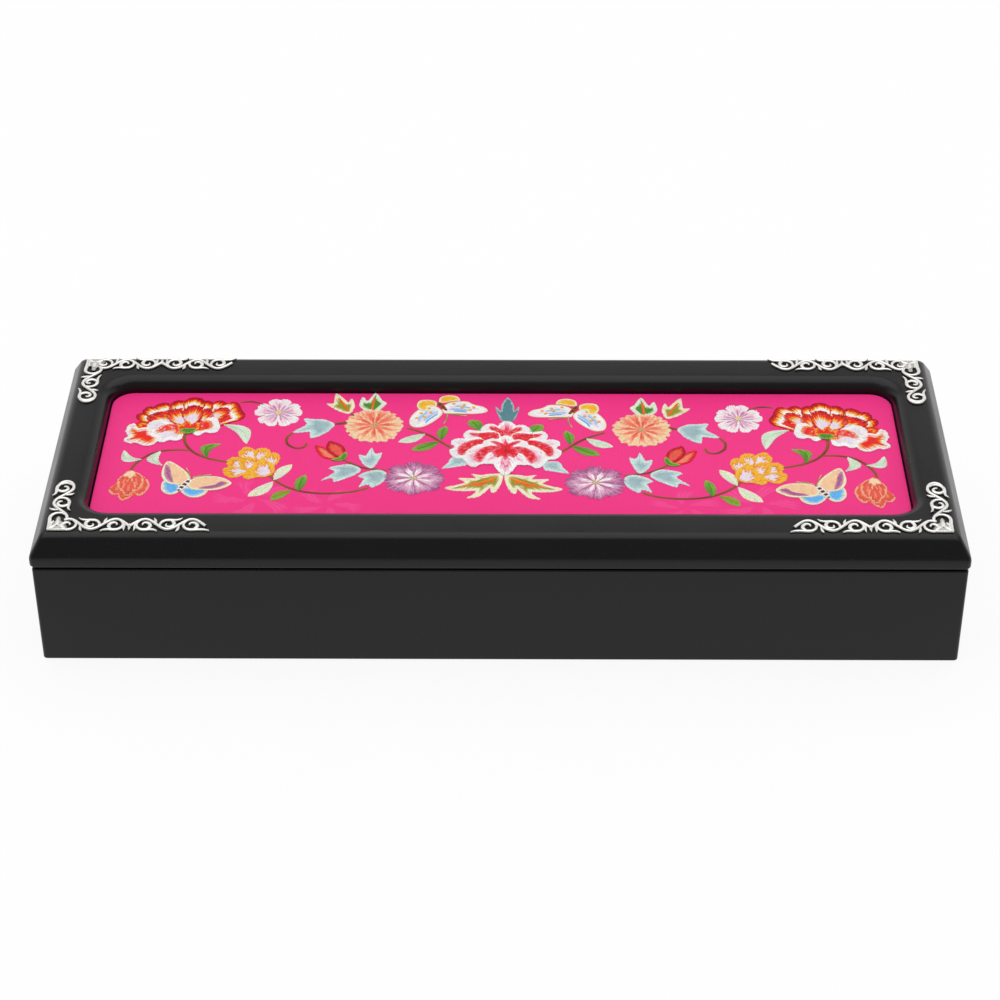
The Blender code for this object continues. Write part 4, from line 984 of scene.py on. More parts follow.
FAN_PEONY = (
    ("flame", 1, (-88.2, 11.5), ((-100.4, 15.4), (-102.4, 16.0), (-103.6, 17.8), (-103.2, 19.4),
     (-101.8, 19.8), (-100.2, 18.8), (-99.0, 17.0))),
    ("flame", 1, (-88.2, 11.5), ((-98.0, 17.4), (-101.4, 18.8), (-102.0, 21.2), (-100.9, 23.1),
     (-99.2, 23.2), (-97.8, 24.6), (-95.8, 25.1), (-94.4, 24.0), (-93.4, 21.6), (-94.6, 18.6))),
    ("flame", 1.4, (-88.2, 11.5), ((-94.4, 20.4), (-94.7, 23.0), (-93.9, 25.4), (-92.4, 26.3),
     (-90.8, 26.0), (-89.4, 24.6), (-89.6, 21.4), (-91.4, 19.6))),
    ("flame", 1.8, (-88.2, 11.5), ((-90.4, 21.6), (-90.9, 24.4), (-90.2, 26.6), (-88.2, 27.7),
     (-86.0, 27.2), (-84.8, 25.6), (-84.6, 22.8), (-86.4, 20.8), (-88.6, 20.6))),
    ("flame", 1.4, (-88.2, 11.5), ((-85.8, 21.0), (-85.6, 24.4), (-84.6, 26.1), (-83.2, 25.8),
     (-82.2, 24.0), (-82.4, 21.2), (-84.0, 19.6))),
    ("flame", 1, (-88.2, 11.5), ((-82.8, 20.2), (-83.0, 23.4), (-82.0, 25.6), (-80.2, 26.2),
     (-78.4, 25.0), (-77.0, 25.7), (-75.4, 25.2), (-74.6, 23.4), (-75.6, 21.2), (-78.6, 19.8))),
    ("flame", 1.4, (-86.0, 13.5), ((-79.0, 19.4), (-76.8, 22.2), (-74.9, 23.8), (-74.0, 21.8),
     (-72.9, 19.6), (-73.0, 17.6), (-74.2, 16.4), (-76.4, 15.2), (-79.4, 13.6), (-80.4, 16.4))),
    ("ember", 2, (-90.0, 12.0), ((-98.4, 13.6), (-100.6, 15.6), (-102.8, 15.6), (-103.6, 13.6),
     (-102.8, 10.8), (-100.6, 9.4), (-98.0, 10.6))),
    ("lick", 2, (-88.2, 11.5), ((-92.8, 13.8), (-97.4, 14.8), (-100.4, 16.8), (-99.8, 18.8),
     (-97.6, 20.4), (-95.4, 20.2), (-94.2, 18.8), (-92.6, 16.4))),
    ("lick", 2.4, (-88.2, 11.5), ((-89.6, 14.2), (-93.0, 15.0), (-95.2, 18.2), (-94.6, 21.0),
     (-92.6, 22.1), (-90.6, 20.8), (-89.4, 18.0))),
    ("lick", 2.4, (-88.2, 11.5), ((-84.2, 14.8), (-85.6, 18.4), (-84.9, 21.6), (-83.2, 22.3),
     (-81.9, 20.2), (-81.8, 17.2))),
    ("lick", 2, (-88.2, 11.5), ((-82.0, 14.4), (-83.2, 18.2), (-81.8, 21.0), (-80.0, 22.6),
     (-77.6, 22.2), (-77.0, 20.4), (-78.2, 17.6), (-79.8, 14.2))),
    ("lick", 2.8, (-88.2, 11.5), ((-87.4, 13.8), (-90.2, 17.0), (-90.8, 20.4), (-89.4, 22.8),
     (-87.4, 23.7), (-85.2, 22.6), (-84.6, 19.6), (-85.2, 16.2))),
    ("frill", 3, (-92.0, 13.5), ((-96.6, 10.8), (-100.0, 12.6), (-102.4, 12.2), (-103.8, 14.5),
     (-105.4, 13.2), (-105.7, 10.6), (-104.8, 8.6), (-105.7, 6.4), (-104.2, 4.9), (-102.0, 5.2),
     (-100.6, 4.2), (-98.8, 3.7), (-97.2, 4.5), (-96.2, 6.4), (-96.2, 8.6))),
    ("pale frill", 3.3, (-88.8, 11.6), ((-92.0, 12.4), (-95.2, 15.8), (-97.4, 16.4), (-99.6, 14.8),
     (-99.9, 11.6), (-99.2, 8.6), (-96.0, 8.0), (-93.0, 9.6))),
    ("pale frill", 3.6, (-89.6, 13.0), ((-89.4, 11.0), (-90.2, 13.2), (-92.2, 14.2), (-94.4, 13.8),
     (-96.8, 12.6), (-98.4, 10.4), (-98.4, 8.4), (-96.9, 7.4), (-96.4, 6.0), (-94.6, 5.4),
     (-93.0, 6.5), (-91.4, 6.2), (-90.0, 6.6), (-89.4, 8.4))),
    ("glow", 4, (-90.0, 14.0), ((-89.0, 9.6), (-89.2, 12.4), (-91.6, 14.0), (-94.2, 14.2),
     (-96.4, 12.6), (-97.4, 10.6), (-96.2, 9.8), (-94.6, 10.6), (-92.8, 10.6), (-91.0, 9.2))),
    ("pale frill", 3.2, (-86.6, 12.0), ((-86.4, 10.6), (-84.6, 14.4), (-83.0, 17.4), (-80.8, 17.4),
     (-79.8, 14.8), (-79.4, 12.4), (-80.0, 10.5), (-81.6, 9.9), (-83.4, 10.3), (-84.8, 8.7),
     (-86.3, 9.3))),
    ("glow", 3.8, (-86.8, 11.6), ((-86.4, 11.4), (-85.6, 14.2), (-83.6, 16.2), (-82.0, 15.6),
     (-81.4, 13.0), (-82.8, 11.6), (-84.8, 10.8))),
    ("glow", 4.5, (-88.2, 11.2), ((-88.3, 10.8), (-91.0, 11.6), (-91.0, 13.6), (-89.6, 14.0),
     (-88.6, 15.6), (-87.4, 14.2), (-86.2, 15.4), (-85.2, 13.2), (-85.6, 11.6))),
    ("calyx", 5.2, (-88.2, 14.6), ((-90.2, 11.6), (-88.1, 12.0), (-86.0, 11.8), (-86.4, 10.2),
     (-88.3, 9.5), (-89.9, 10.2))),
)
GOLDEN_FLOWER = (
    ("gold rim", 1, (-64.5, -10.0), ((-69.6, -2.8), (-72.4, -1.6), (-72.9, 1.0), (-71.4, 3.3),
     (-69.2, 2.5), (-67.8, 0.6), (-67.4, -2.4))),
    ("gold rim", 1.4, (-64.5, -10.0), ((-67.8, -3.0), (-68.8, 0.4), (-67.4, 2.7), (-65.2, 2.5),
     (-64.1, 0.4), (-64.8, -2.6))),
    ("gold rim", 1.8, (-64.5, -10.0), ((-66.2, -5.0), (-66.6, -1.6), (-64.6, 0.1), (-62.6, 0.3),
     (-61.3, -1.8), (-61.8, -4.2), (-63.6, -6.6))),
    ("gold rim", 1, (-64.5, -10.0), ((-71.6, -7.0), (-75.2, -6.0), (-75.9, -3.4), (-74.4, -1.6),
     (-72.0, -2.0), (-70.2, -4.6))),
    ("gold rim", 1.5, (-64.5, -10.0), ((-69.8, -9.0), (-73.4, -11.4), (-75.8, -10.0), (-76.5, -7.6),
     (-75.0, -6.0), (-72.2, -6.4), (-69.4, -7.4))),
    ("gold rim", 1.8, (-64.5, -10.0), ((-66.0, -9.0), (-68.2, -11.7), (-70.3, -11.8), (-70.8, -9.6),
     (-70.2, -7.2), (-67.6, -6.8))),
    ("gold edge", 2.3, (-64.5, -10.0), ((-68.6, -7.2), (-71.0, -7.0), (-72.5, -4.6), (-71.6, -2.0),
     (-69.6, -1.6), (-68.0, -4.0))),
    ("gold edge", 2.8, (-64.0, -11.0), ((-64.0, -10.5), (-66.0, -11.3), (-68.6, -10.4), (-69.2, -7.2),
     (-67.5, -3.4), (-65.4, -2.9), (-63.4, -4.6), (-62.3, -7.4), (-62.8, -9.6))),
)
CORAL_FLOWER = (
    ("coral base", 0.6, (-102.0, -8.0), ((-102.2, -8.8), (-104.6, -11.6), (-105.7, -15.6),
     (-103.6, -20.0), (-101.2, -20.4), (-98.4, -18.6), (-97.0, -14.4), (-99.0, -10.6))),
    ("coral", 1, (-102.0, -8.0), ((-103.8, -12.0), (-105.6, -14.0), (-106.9, -17.2), (-105.9, -19.1),
     (-103.8, -18.6), (-102.6, -15.0))),
    ("coral", 1, (-102.0, -8.0), ((-99.6, -10.4), (-97.4, -11.8), (-96.2, -14.6), (-96.7, -17.6),
     (-98.2, -19.8), (-99.8, -18.4), (-100.6, -14.0))),
    ("coral", 1.4, (-102.0, -8.0), ((-103.4, -17.0), (-104.1, -19.8), (-103.0, -21.9),
     (-101.4, -21.2), (-100.4, -19.4), (-101.0, -16.0))),
    ("coral", 2, (-102.0, -8.0), ((-102.6, -9.4), (-104.6, -11.2), (-105.1, -13.6), (-104.2, -16.6),
     (-102.9, -17.7), (-101.8, -15.0), (-101.7, -12.0))),
    ("coral", 2.3, (-102.0, -8.0), ((-100.8, -9.2), (-99.0, -10.2), (-98.0, -12.6), (-98.2, -15.6),
     (-99.6, -17.8), (-101.0, -16.4), (-101.6, -12.6))),
    ("coral", 3, (-102.0, -8.0), ((-101.7, -11.8), (-103.0, -14.6), (-103.2, -17.6), (-102.0, -19.9),
     (-100.5, -19.0), (-99.8, -16.2), (-100.6, -13.4))),
    ("coral top", 3.6, (-102.0, -8.0), ((-102.0, -8.4), (-103.4, -9.2), (-103.9, -11.4),
     (-102.7, -11.4), (-101.8, -12.4), (-101.0, -11.2), (-100.2, -11.2), (-100.7, -9.0))),
)
RED_BUD = (
    ("bud", 1.5, (-44.6, -2.6), ((-45.8, -2.6), (-49.2, -1.8), (-51.0, 0.8), (-51.9, 4.0),
     (-50.0, 3.6), (-48.2, 2.0), (-46.2, -0.6))),
    ("bud shade", 2.1, (-44.6, -2.6), ((-44.6, -1.8), (-47.3, 0.0), (-48.7, 2.8), (-48.2, 6.0),
     (-46.9, 5.8), (-44.7, 4.4), (-43.5, 2.2), (-43.3, -0.6))),
    ("calyx", 3, (-43.6, -4.0), ((-47.0, -2.8), (-44.8, -1.4), (-43.3, 0.9), (-42.8, -0.9),
     (-43.6, -2.6), (-45.2, -3.3))),
)
LOBED_LEAVES = (
    ("lobed leaf", 1, (-46.6, 14.6), ((-47.3, 14.6), (-50.2, 16.8), (-53.0, 17.0), (-55.9, 17.2),
     (-54.9, 14.6), (-56.6, 12.6), (-58.8, 10.4), (-55.8, 10.5), (-53.9, 10.8), (-53.5, 7.9),
     (-51.0, 8.8), (-48.4, 11.4))),
    ("lobed leaf", 1, (-35.8, -7.0), ((-36.4, -6.4), (-38.4, -4.0), (-39.4, -0.3), (-37.5, -0.9),
     (-36.2, 2.9), (-34.9, 0.1), (-33.1, 0.6), (-34.0, -3.4), (-35.2, -6.2))),
    ("lobed leaf", 1, (-38.2, -7.0), ((-38.8, -7.4), (-40.4, -5.4), (-43.6, -5.1), (-47.4, -6.7),
     (-45.8, -8.6), (-49.3, -12.5), (-46.3, -11.4), (-45.6, -13.1), (-42.4, -11.4), (-39.6, -9.4))),
    ("lobed leaf", 1, (-31.4, -8.4), ((-31.8, -8.8), (-33.6, -7.5), (-36.6, -8.3), (-39.1, -10.4),
     (-37.5, -11.8), (-38.8, -15.5), (-36.1, -14.3), (-35.3, -15.8), (-32.6, -13.6), (-31.3, -11.0))),
    ("lobed leaf", 0.7, (-9.6, -1.0), ((-13.4, -1.4), (-9.4, -1.6), (-9.4, -4.8), (-11.2, -5.6),
     (-16.2, -6.8), (-14.6, -4.2))),
)
TOP_LEAVES = (
    ("cream leaf", 1, (-43.2, 19.6), ((-43.2, 20.0), (-46.6, 21.4), (-49.9, 24.8), (-47.9, 25.0),
     (-47.5, 29.9), (-45.2, 27.4), (-43.7, 25.4), (-42.9, 27.4), (-41.9, 23.6))),
    ("green leaf", 1, (-36.8, 20.4), ((-37.4, 21.0), (-39.8, 22.6), (-40.5, 24.6), (-39.7, 28.1),
     (-38.2, 26.2), (-36.2, 30.2), (-34.2, 26.6), (-32.9, 25.0), (-34.4, 22.2), (-35.6, 21.0))),
)
UPPER_BUTTERFLY = (
    ("white wing", 1, (-16.6, 22.4), ((-17.2, 21.6), (-19.4, 23.8), (-21.8, 23.4), (-24.4, 20.4),
     (-25.8, 17.0), (-25.3, 13.8), (-22.6, 13.2), (-19.4, 15.8), (-17.0, 19.4))),
    ("white wing", 1, (-16.6, 22.4), ((-16.2, 20.4), (-16.4, 23.4), (-14.0, 25.6), (-9.8, 25.8),
     (-8.2, 24.2), (-5.4, 23.3), (-4.0, 21.4), (-5.6, 20.2), (-9.0, 19.9), (-13.0, 20.1))),
    ("gold wing", 2, (-17.8, 23.0), ((-18.8, 23.6), (-18.7, 25.6), (-20.4, 26.5), (-23.2, 26.2),
     (-24.0, 23.8), (-23.0, 21.6), (-21.2, 21.4), (-21.0, 23.6))),
    ("gold wing", 2, (-16.8, 24.4), ((-17.6, 25.6), (-17.4, 27.8), (-15.4, 28.9), (-12.8, 28.4),
     (-11.9, 26.4), (-13.2, 26.6), (-15.6, 25.6))),
)
LOWER_BUTTERFLY = (
    ("blue wing", 1, (-87.2, -15.2), ((-92.5, -13.2), (-90.6, -12.6), (-88.2, -14.4), (-87.8, -17.4),
     (-89.0, -18.9), (-90.9, -18.9), (-92.6, -16.8))),
    ("blue wing", 1, (-86.6, -15.4), ((-87.2, -17.4), (-85.4, -15.6), (-82.4, -16.4), (-80.0, -16.6),
     (-80.7, -19.1), (-82.6, -20.4), (-85.0, -20.0))),
    ("peach wing", 2, (-85.8, -14.4), ((-85.5, -11.4), (-87.2, -8.2), (-90.2, -5.0), (-92.3, -3.9),
     (-93.2, -7.0), (-93.1, -10.6), (-91.6, -13.4), (-89.2, -14.5), (-86.6, -13.8))),
    ("peach wing", 2, (-86.2, -14.4), ((-85.4, -14.6), (-83.9, -11.6), (-80.4, -10.9), (-76.6, -11.5),
     (-73.8, -13.9), (-75.4, -15.9), (-78.0, -17.1), (-81.4, -17.1), (-84.4, -16.6))),
    ("purple band", 2.8, (-85.8, -14.4), ((-92.5, -5.2), (-91.5, -6.6), (-90.8, -9.8), (-89.9, -13.4),
     (-91.2, -12.8), (-92.5, -10.0), (-92.7, -7.2))),
    ("purple band", 2.8, (-86.2, -14.4), ((-74.9, -14.0), (-76.6, -13.2), (-78.2, -14.8),
     (-81.4, -15.8), (-82.4, -16.6), (-79.8, -16.6), (-77.2, -16.0))),
)
WING_SPOT_SIZE = 0.9
WING_SPOTS = (
    (-20.6, 22.4), (-22.8, 20.0), (-23.9, 17.6), (-20.0, 20.4), (-21.8, 18.2),
    (-13.6, 24.8), (-10.6, 24.2), (-7.9, 22.9), (-11.2, 22.8), (-8.9, 21.6),
)
WING_STREAKS = (
    ("pale blue", 0.9, ((-17.9, 20.9), (-20.1, 19.0), (-21.9, 16.4))),
    ("sky", 0.6, ((-18.0, 19.7), (-20.2, 17.3), (-21.4, 15.2))),
    ("pale blue", 0.9, ((-20.9, 20.8), (-22.6, 18.6), (-23.4, 16.2))),
    ("pale blue", 0.9, ((-14.6, 22.2), (-12.2, 22.0), (-9.6, 21.4))),
    ("sky", 0.6, ((-13.6, 21.2), (-11.6, 21.0), (-9.8, 20.6))),
    ("pale blue", 0.7, ((-13.0, 23.8), (-10.6, 23.4), (-9.0, 22.6))),
)
BROAD_LEAF_VEIN = ((-0.6, -10.6), (-4.6, -13.0), (-10.8, -15.5))
TOP_LEAF_VEINS = (
    (0.85, ((-43.6, 20.8), (-44.6, 23.6), (-46.6, 27.6))),
    (0.95, ((-36.8, 21.6), (-36.6, 25.0), (-36.3, 27.8))),
)
UPPER_FEELERS = (
    (0.42, ((-15.4, 20.2), (-15.3, 17.6), (-16.3, 14.8))),
    (0.60, ((-15.0, 19.9), (-12.4, 19.3), (-9.8, 18.7))),
)
LOWER_FEELERS = (
    (0.42, ((-85.1, -12.4), (-85.8, -9.4), (-86.8, -6.8))),
    (0.60, ((-84.6, -11.4), (-82.4, -10.5), (-79.6, -10.1))),
)

# A butterfly's body: head, tail, width and thread, with dark spots on three stitches in five
UPPER_BODY = ((-18.0, 25.2), (-15.6, 21.4), 1.2, "brown")
LOWER_BODY = ((-85.2, -12.4), (-88.0, -17.6), 1.9, "white")
BODY_HEAD_SHARE = 0.12
BODY_LENGTH_SHARE = 0.82
BODY_POINTEDNESS = 0.6
BODY_SPOT_STEP = 5
BODY_SPOT_SHARE = 0.6
WING_RIM_LIFT = 0.8

# A stem is its width and its points. A plain leaf is its threads, base, tip, width and bend.
STEMS = (
    (0.95, ((-74.8, 25.4), (-71.0, 25.7), (-67.2, 23.8))),
    (0.85, ((-42.9, 20.4), (-41.6, 18.8), (-40.6, 17.8))),
    (1.35, ((-47.2, 14.8), (-45.4, 14.9), (-43.2, 15.6))),
    (1.00, ((-58.2, 10.6), (-60.0, 8.2), (-59.8, 5.0), (-57.6, 2.9), (-55.2, 3.1), (-54.2, 5.2))),
    (1.05, ((-13.4, 2.6), (-16.8, 5.9), (-19.7, 8.8), (-22.8, 10.9), (-26.6, 12.9))),
    (1.00, ((-43.6, -2.8), (-40.8, -4.9), (-37.8, -6.6), (-34.4, -7.2), (-31.4, -8.0))),
    (1.05, ((-36.0, -15.8), (-40.5, -17.7), (-46.6, -18.5), (-52.0, -18.1), (-56.6, -16.6),
     (-60.5, -13.9), (-63.8, -10.0))),
    (1.05, ((-75.4, -4.0), (-81.2, -2.2), (-85.1, 0.3), (-87.5, 3.4), (-88.7, 6.6), (-88.8, 9.8))),
)
CORAL_BRANCH = (
    (1.00, ((-86.8, 1.6), (-90.1, 1.9), (-93.9, 1.5), (-97.4, 0.0), (-100.1, -3.1), (-101.7, -6.2),
     (-102.0, -9.2))),
)
PLAIN_LEAVES = (
    (("mint", "pale mint"), (-21.4, 9.8), (-28.6, 5.9), 3.2, 0.06),
    (("leaf green", "grass"), (-16.8, 7.0), (-15.6, 13.6), 2.8, 0.06),
    (("leaf green", "grass"), (-17.4, 6.2), (-24.8, 2.0), 3.4, 0.05),
    (("leaf green", "grass"), (-5.9, 11.4), (-8.9, 16.6), 3.8, -0.08),
    (("pale mint", "cream"), (-62.2, -12.4), (-57.8, -5.1), 3.2, 0.05),
    (("pale mint", "cream"), (-62.4, -13.2), (-68.6, -19.9), 3.6, 0.06),
    (("leaf green", "grass"), (-55.2, -17.4), (-53.8, -10.0), 3.0, 0.05),
    (("olive", "grass"), (-57.2, -17.2), (-62.4, -21.6), 3.0, -0.05),
    (("leaf green", "grass"), (-81.6, -1.8), (-78.4, 4.9), 3.2, 0.34),
    (("mint", "pale mint"), (-78.4, 14.2), (-71.2, 5.0), 3.9, 0.22),
)
CORAL_BRANCH_LEAVES = (
    (("mint", "pale mint"), (-99.6, -2.8), (-105.1, 1.4), 3.0, 0.32),
    (("mint", "pale mint"), (-93.6, -5.6), (-95.0, 1.2), 3.2, 0.34),
)

# An open flower: its centre, its shift on the right half, how squat it is, its petals, the streaks
# on them and its knots' thread. Petals and streaks are a number, the first one's turn in degrees,
# a shape (inner end, outer end, width and depth of the notch) and the shades.
OPEN_FLOWERS = (
    ((-63.3, 20.1), (1.2, -0.5), 0.0, (5, 90, (0.5, 7.0, 6.3, 0.09), ("pink",)),
     (15, 90, (0.8, 4.2, 0.7, -0.15), ("pink streak",)), "pale yellow"),
    ((-35.8, 13.8), (1.1, 0.4), 0.0, (11, 8, (0.8, 8.4, 5.2, 0.10), ("deep peach", "peach")),
     (11, 8, (0.4, 5.0, 1.3, -0.15), ("peach streak",)), "straw"),
    ((-23.9, -11.4), (-0.4, 0.3), 0.14, (8, 22, (0.6, 8.7, 7.4, 0.12), ("deep purple", "purple")),
     (8, 22, (0.4, 5.0, 1.5, -0.15), ("purple streak",)), "straw"),
)
UPPER_PETAL_RISE = 0.2
PETAL_LAP = 0.3

# A petal's edge, in shares of its length and of its width
PETAL_FOOT_SHARE = 0.10
PETAL_SHARES = ((0.45, 0.34), (0.74, 0.50), (0.92, 0.38), (0.98, 0.17))

# How far a motif of the right half lies from the mirror image of the left one, across and up
UNSHIFTED = (0.0, 0.0)
FAN_SHIFT = (0.4, 0.0)
BROAD_LEAF_SHIFT = (-0.8, 0.0)
GOLDEN_SHIFT = (-0.4, 0.0)
CORAL_SHIFT = (-2.2, -0.5)
CORAL_BRANCH_SHIFT = (-1.2, 0.0)
TOP_LEAVES_SHIFT = (1.2, 0.0)
UPPER_BUTTERFLY_SHIFT = (1.1, 0.5)
LOWER_BUTTERFLY_SHIFT = (-1.2, -0.5)


class Needle:
    """Collects the stitches of one piece of embroidery, as seen from above."""

    def __init__(self, seed):
        self.chance = random.Random(seed)
        self.stitches = []

    def wander(self, reach):
        """A small random step to either side."""
        return self.chance.uniform(-reach, reach)

    def stitch(self, start, end, colour, layer, width=THREAD_WIDTH):
        """One stitch. No two are quite alike in tone."""
        light = 1 + self.wander(THREAD_VARIATION)
        tone = tuple(min(1.0, part * light) for part in colour[:3]) + (1.0,)
        self.stitches.append((Vector(start), Vector(end), tone, layer, width))

    def shaded_run(self, origin, heading, near, far, rim, shading, layer):
        """Stitches from the rim inwards. A new one starts where the shade changes or it gets long."""
        raggedness, flank, silks = SHADINGS[shading]
        ragged = self.wander(raggedness)
        longest = STITCH_LENGTH * (1 + self.wander(STITCH_LENGTH_WANDER))
        steps = max(2, round((far - near) / SHADE_STEP))
        begun, current = far, None
        for step in range(steps + 1):
            place = far - (far - near) * step / steps
            point = origin + heading * place
            depth = rim.find((point.x, point.y, 0.0))[2] * flank
            name = shade_at(silks, min(depth, max(far - place, 0.0)) + ragged)
            finished = step == steps or (current is not None and name != current)
            if finished or begun - place > longest:
                first = origin + heading * (place - STITCH_OVERLAP)
                self.stitch(first, origin + heading * begun, THREADS[current or name], layer)
                begun = place
            current = name

    def patch(self, shading, layer, focus, points):
        """Long and short satin stitch that spreads from a point. Its shades follow the rim."""
        outline = closed_path(points)
        rim = rim_finder(outline)
        focus = Vector(focus)
        reach = max((point - focus).length for point in outline)
        steps = max(8, round(2 * math.pi * reach / THREAD_SPACING))
        for index in range(steps):
            heading = heading_of(FULL_TURN * (index + self.wander(STITCH_PLACE_WANDER)) / steps)
            skipped = SKIPPED_SHARES[index % len(SKIPPED_SHARES)] * reach
            for near, far in spans(outline, focus, heading):
                near = max(near, skipped)
                if far > near + THREAD_WIDTH:
                    far += self.wander(EDGE_UNEVENNESS_SHARE * SHADINGS[shading][0])
                    self.shaded_run(focus, heading, near, far, rim, shading, layer)

    def spot(self, place, size, thread, layer):
        """A small round of stitches side by side."""
        rows = max(2, round(size / THREAD_SPACING))
        for index in range(rows):
            across = (index + 0.5) / rows - 0.5
            half = SPOT_HEADING * size * math.sqrt(0.25 - across * across)
            middle = Vector(place) + SPOT_SIDE * across * size
            self.stitch(middle - half, middle + half, THREADS[thread], layer)

    def leaf(self, silks, base, tip, width, bend):
        """A leaf in slanted satin stitch: each half runs from the midrib out and forward."""
        base, tip = Vector(base), Vector(tip)
        axis = tip - base
        length = axis.length
        side = Vector((-axis.y, axis.x)) / length
        steps = max(6, round(length / THREAD_SPACING))

        def rib(part):
            return base + axis * part + side * bend * length * math.sin(math.pi * part)

        for hand, start in ((-1, 0.0), (1, LIGHT_HALF_SHARE)):
            for index in range(steps):
                part = (index + 0.5 + self.wander(STITCH_PLACE_WANDER)) / steps
                reach = width / 2 * math.sin(math.pi * part ** LEAF_LEAN) ** LEAF_POINTEDNESS
                ahead = min(1.0, part + STITCH_SLANT * reach / length)
                end = rib(ahead) + side * hand * reach * (1 + self.wander(LEAF_EDGE_WANDER))
                place = start + (1 - start) * part + self.wander(SHADE_BLEND)
                colour = blended(((0, silks[0]), (1, silks[1])), place)
                self.stitch(rib(part), end, colour, LEAF_LAYER)
        points = [rib(index / PATH_STEPS) for index in range(PATH_STEPS)]
        self.line(points, VEIN_WIDTH, silks[0], VEIN_LAYER)

    def line(self, points, width, thread, layer):
        """A stem stitch in one thread."""
        self.stem(points, width, ((0, thread), (1, thread)), layer)

    def stem(self, points, width, silks, layer):
        """Stem stitch: each thread lies on a slant beside the last, like the strands of a rope."""
        path = smooth_path(points)
        total = sum((there - here).length for here, there in zip(path, path[1:]))
        steps = max(2, round(total / STEM_STEP))
        half = STEM_REACH / total
        for index in range(steps + 1):
            part = index / steps
            here = point_on(path, max(0.0, part - half))
            there = point_on(path, min(1.0, part + half))
            along = (there - here).normalized()
            side = Vector((-along.y, along.x)) * (width - THREAD_WIDTH) / 2
            colour = blended(silks, part + self.wander(SHADE_BLEND))
            self.stitch(here - side, there + side, colour, layer)

    def knots(self, places, thread, layer):
        """French knots: two short, thick threads crossed on each other."""
        for x, y in places:
            for along, up, lift, width in (
                (KNOT_REACH, 0, 0, KNOT_WIDTH), (0, KNOT_REACH, KNOT_LIFT, UPPER_KNOT_WIDTH),
            ):
                start, end = (x - along, y - up), (x + along, y + up)
                self.stitch(start, end, THREADS[thread], layer + lift, width)

    def mirrored(self, begun, shift, drop=MIRROR_DROP):
        """The stitches since a count again on the other half of the silk, a little lower."""
        for start, end, tone, layer, width in self.stitches[begun:]:
            far = []
            for point in (start, end):
                far.append(Vector((2 * MIRROR_X - point.x + shift[0], point.y - drop + shift[1])))
            self.stitches.append((far[0], far[1], tone, layer, width))


def heading_of(degrees):
    """A direction on the silk."""
    turn = math.radians(degrees)
    return Vector((math.cos(turn), math.sin(turn)))


SPOT_HEADING = heading_of(65)
SPOT_SIDE = heading_of(155)


def shade_at(silks, depth):
    """The thread at a depth from the rim."""
    for band, name in silks:
        if depth < band:
            return name
        depth -= band
    return silks[-1][1]


def rim_finder(outline):
    """Finds how far a place is from the rim of a patch."""
    finder = kdtree.KDTree(len(outline))
    for index, point in enumerate(outline):
        finder.insert((point.x, point.y, 0.0), index)
    finder.balance()
    return finder


def spans(outline, origin, heading):
    """Where a line enters and leaves an outline, as pairs of distances from its origin."""
    crossings = []
    for here, there in zip(outline, outline[1:] + outline[:1]):
        side_here = (here - origin).cross(heading)
        side_there = (there - origin).cross(heading)
        if (side_here < 0) != (side_there < 0):
            point = here.lerp(there, side_here / (side_here - side_there))
            crossings.append((point - origin).dot(heading))
    crossings.sort()
    if len(crossings) % 2 == 0 and crossings and crossings[0] < 0:
        crossings = [max(0.0, place) for place in crossings]
    return list(zip(crossings[::2], crossings[1::2]))


def petal_points(centre, turn, inner, outer, width, notch):
    """A petal of an open flower, as (x, y) points: wide at its rim, with a notch in the middle."""
    along = heading_of(turn)
    side = Vector((-along.y, along.x))
    stations = [(inner, PETAL_FOOT_SHARE)]
    stations += [(forward * outer, sideways) for forward, sideways in PETAL_SHARES]
    stations.append((outer * (1 - notch), 0.0))
    points = []
    for forward, sideways in stations:
        points.append(Vector(centre) + along * forward + side * sideways * width)
    for point in points[-2::-1]:
        offset = point - Vector(centre)
        points.append(point - 2 * side * offset.dot(side))
    return points


def smooth_path(points):
    """A smooth line through given points."""
    points = [Vector(point) for point in points]
    path = []
    for index in range(len(points) - 1):
        before = points[max(index - 1, 0)]
        here, there = points[index], points[index + 1]
        after = points[min(index + 2, len(points) - 1)]
        for step in range(PATH_STEPS):
            part = step / PATH_STEPS
            square, cube = part * part, part ** 3
            path.append(0.5 * (
                2 * here + (there - before) * part
                + (2 * before - 5 * here + 4 * there - after) * square
                + (3 * here - before - 3 * there + after) * cube
            ))
    path.append(points[-1])
    return path


def closed_path(points):
    """A smooth closed outline through given points."""
    points = list(points)
    looped = [points[-1]] + points + [points[0], points[1]]
    path = smooth_path(looped)
    return path[PATH_STEPS:-PATH_STEPS - 1]


def point_on(path, part):
    """The point at a share of the way along a path."""
    place = part * (len(path) - 1)
    index = min(int(place), len(path) - 2)
    return path[index].lerp(path[index + 1], place - index)


def blended(silks, part):
    """The thread at a place between the shades of a set, given as (place, thread name) pairs."""
    for (low, first), (high, second) in zip(silks, silks[1:]):
        if part <= high:
            share = max(0.0, min(1.0, (part - low) / (high - low)))
            pair = zip(THREADS[first], THREADS[second])
            return tuple(one + (other - one) * share for one, other in pair)
    return THREADS[silks[-1][1]]


def patches(needle, drawing):
    """Sew every patch of a drawing."""
    for shading, layer, focus, points in drawing:
        needle.patch(shading, layer, focus, points)


def fan_peonies(needle):
    """The large flower at each end of the silk, opened like a fan with flame-coloured rims."""
    patches(needle, FAN_PEONY)
    needle.mirrored(0, FAN_SHIFT)


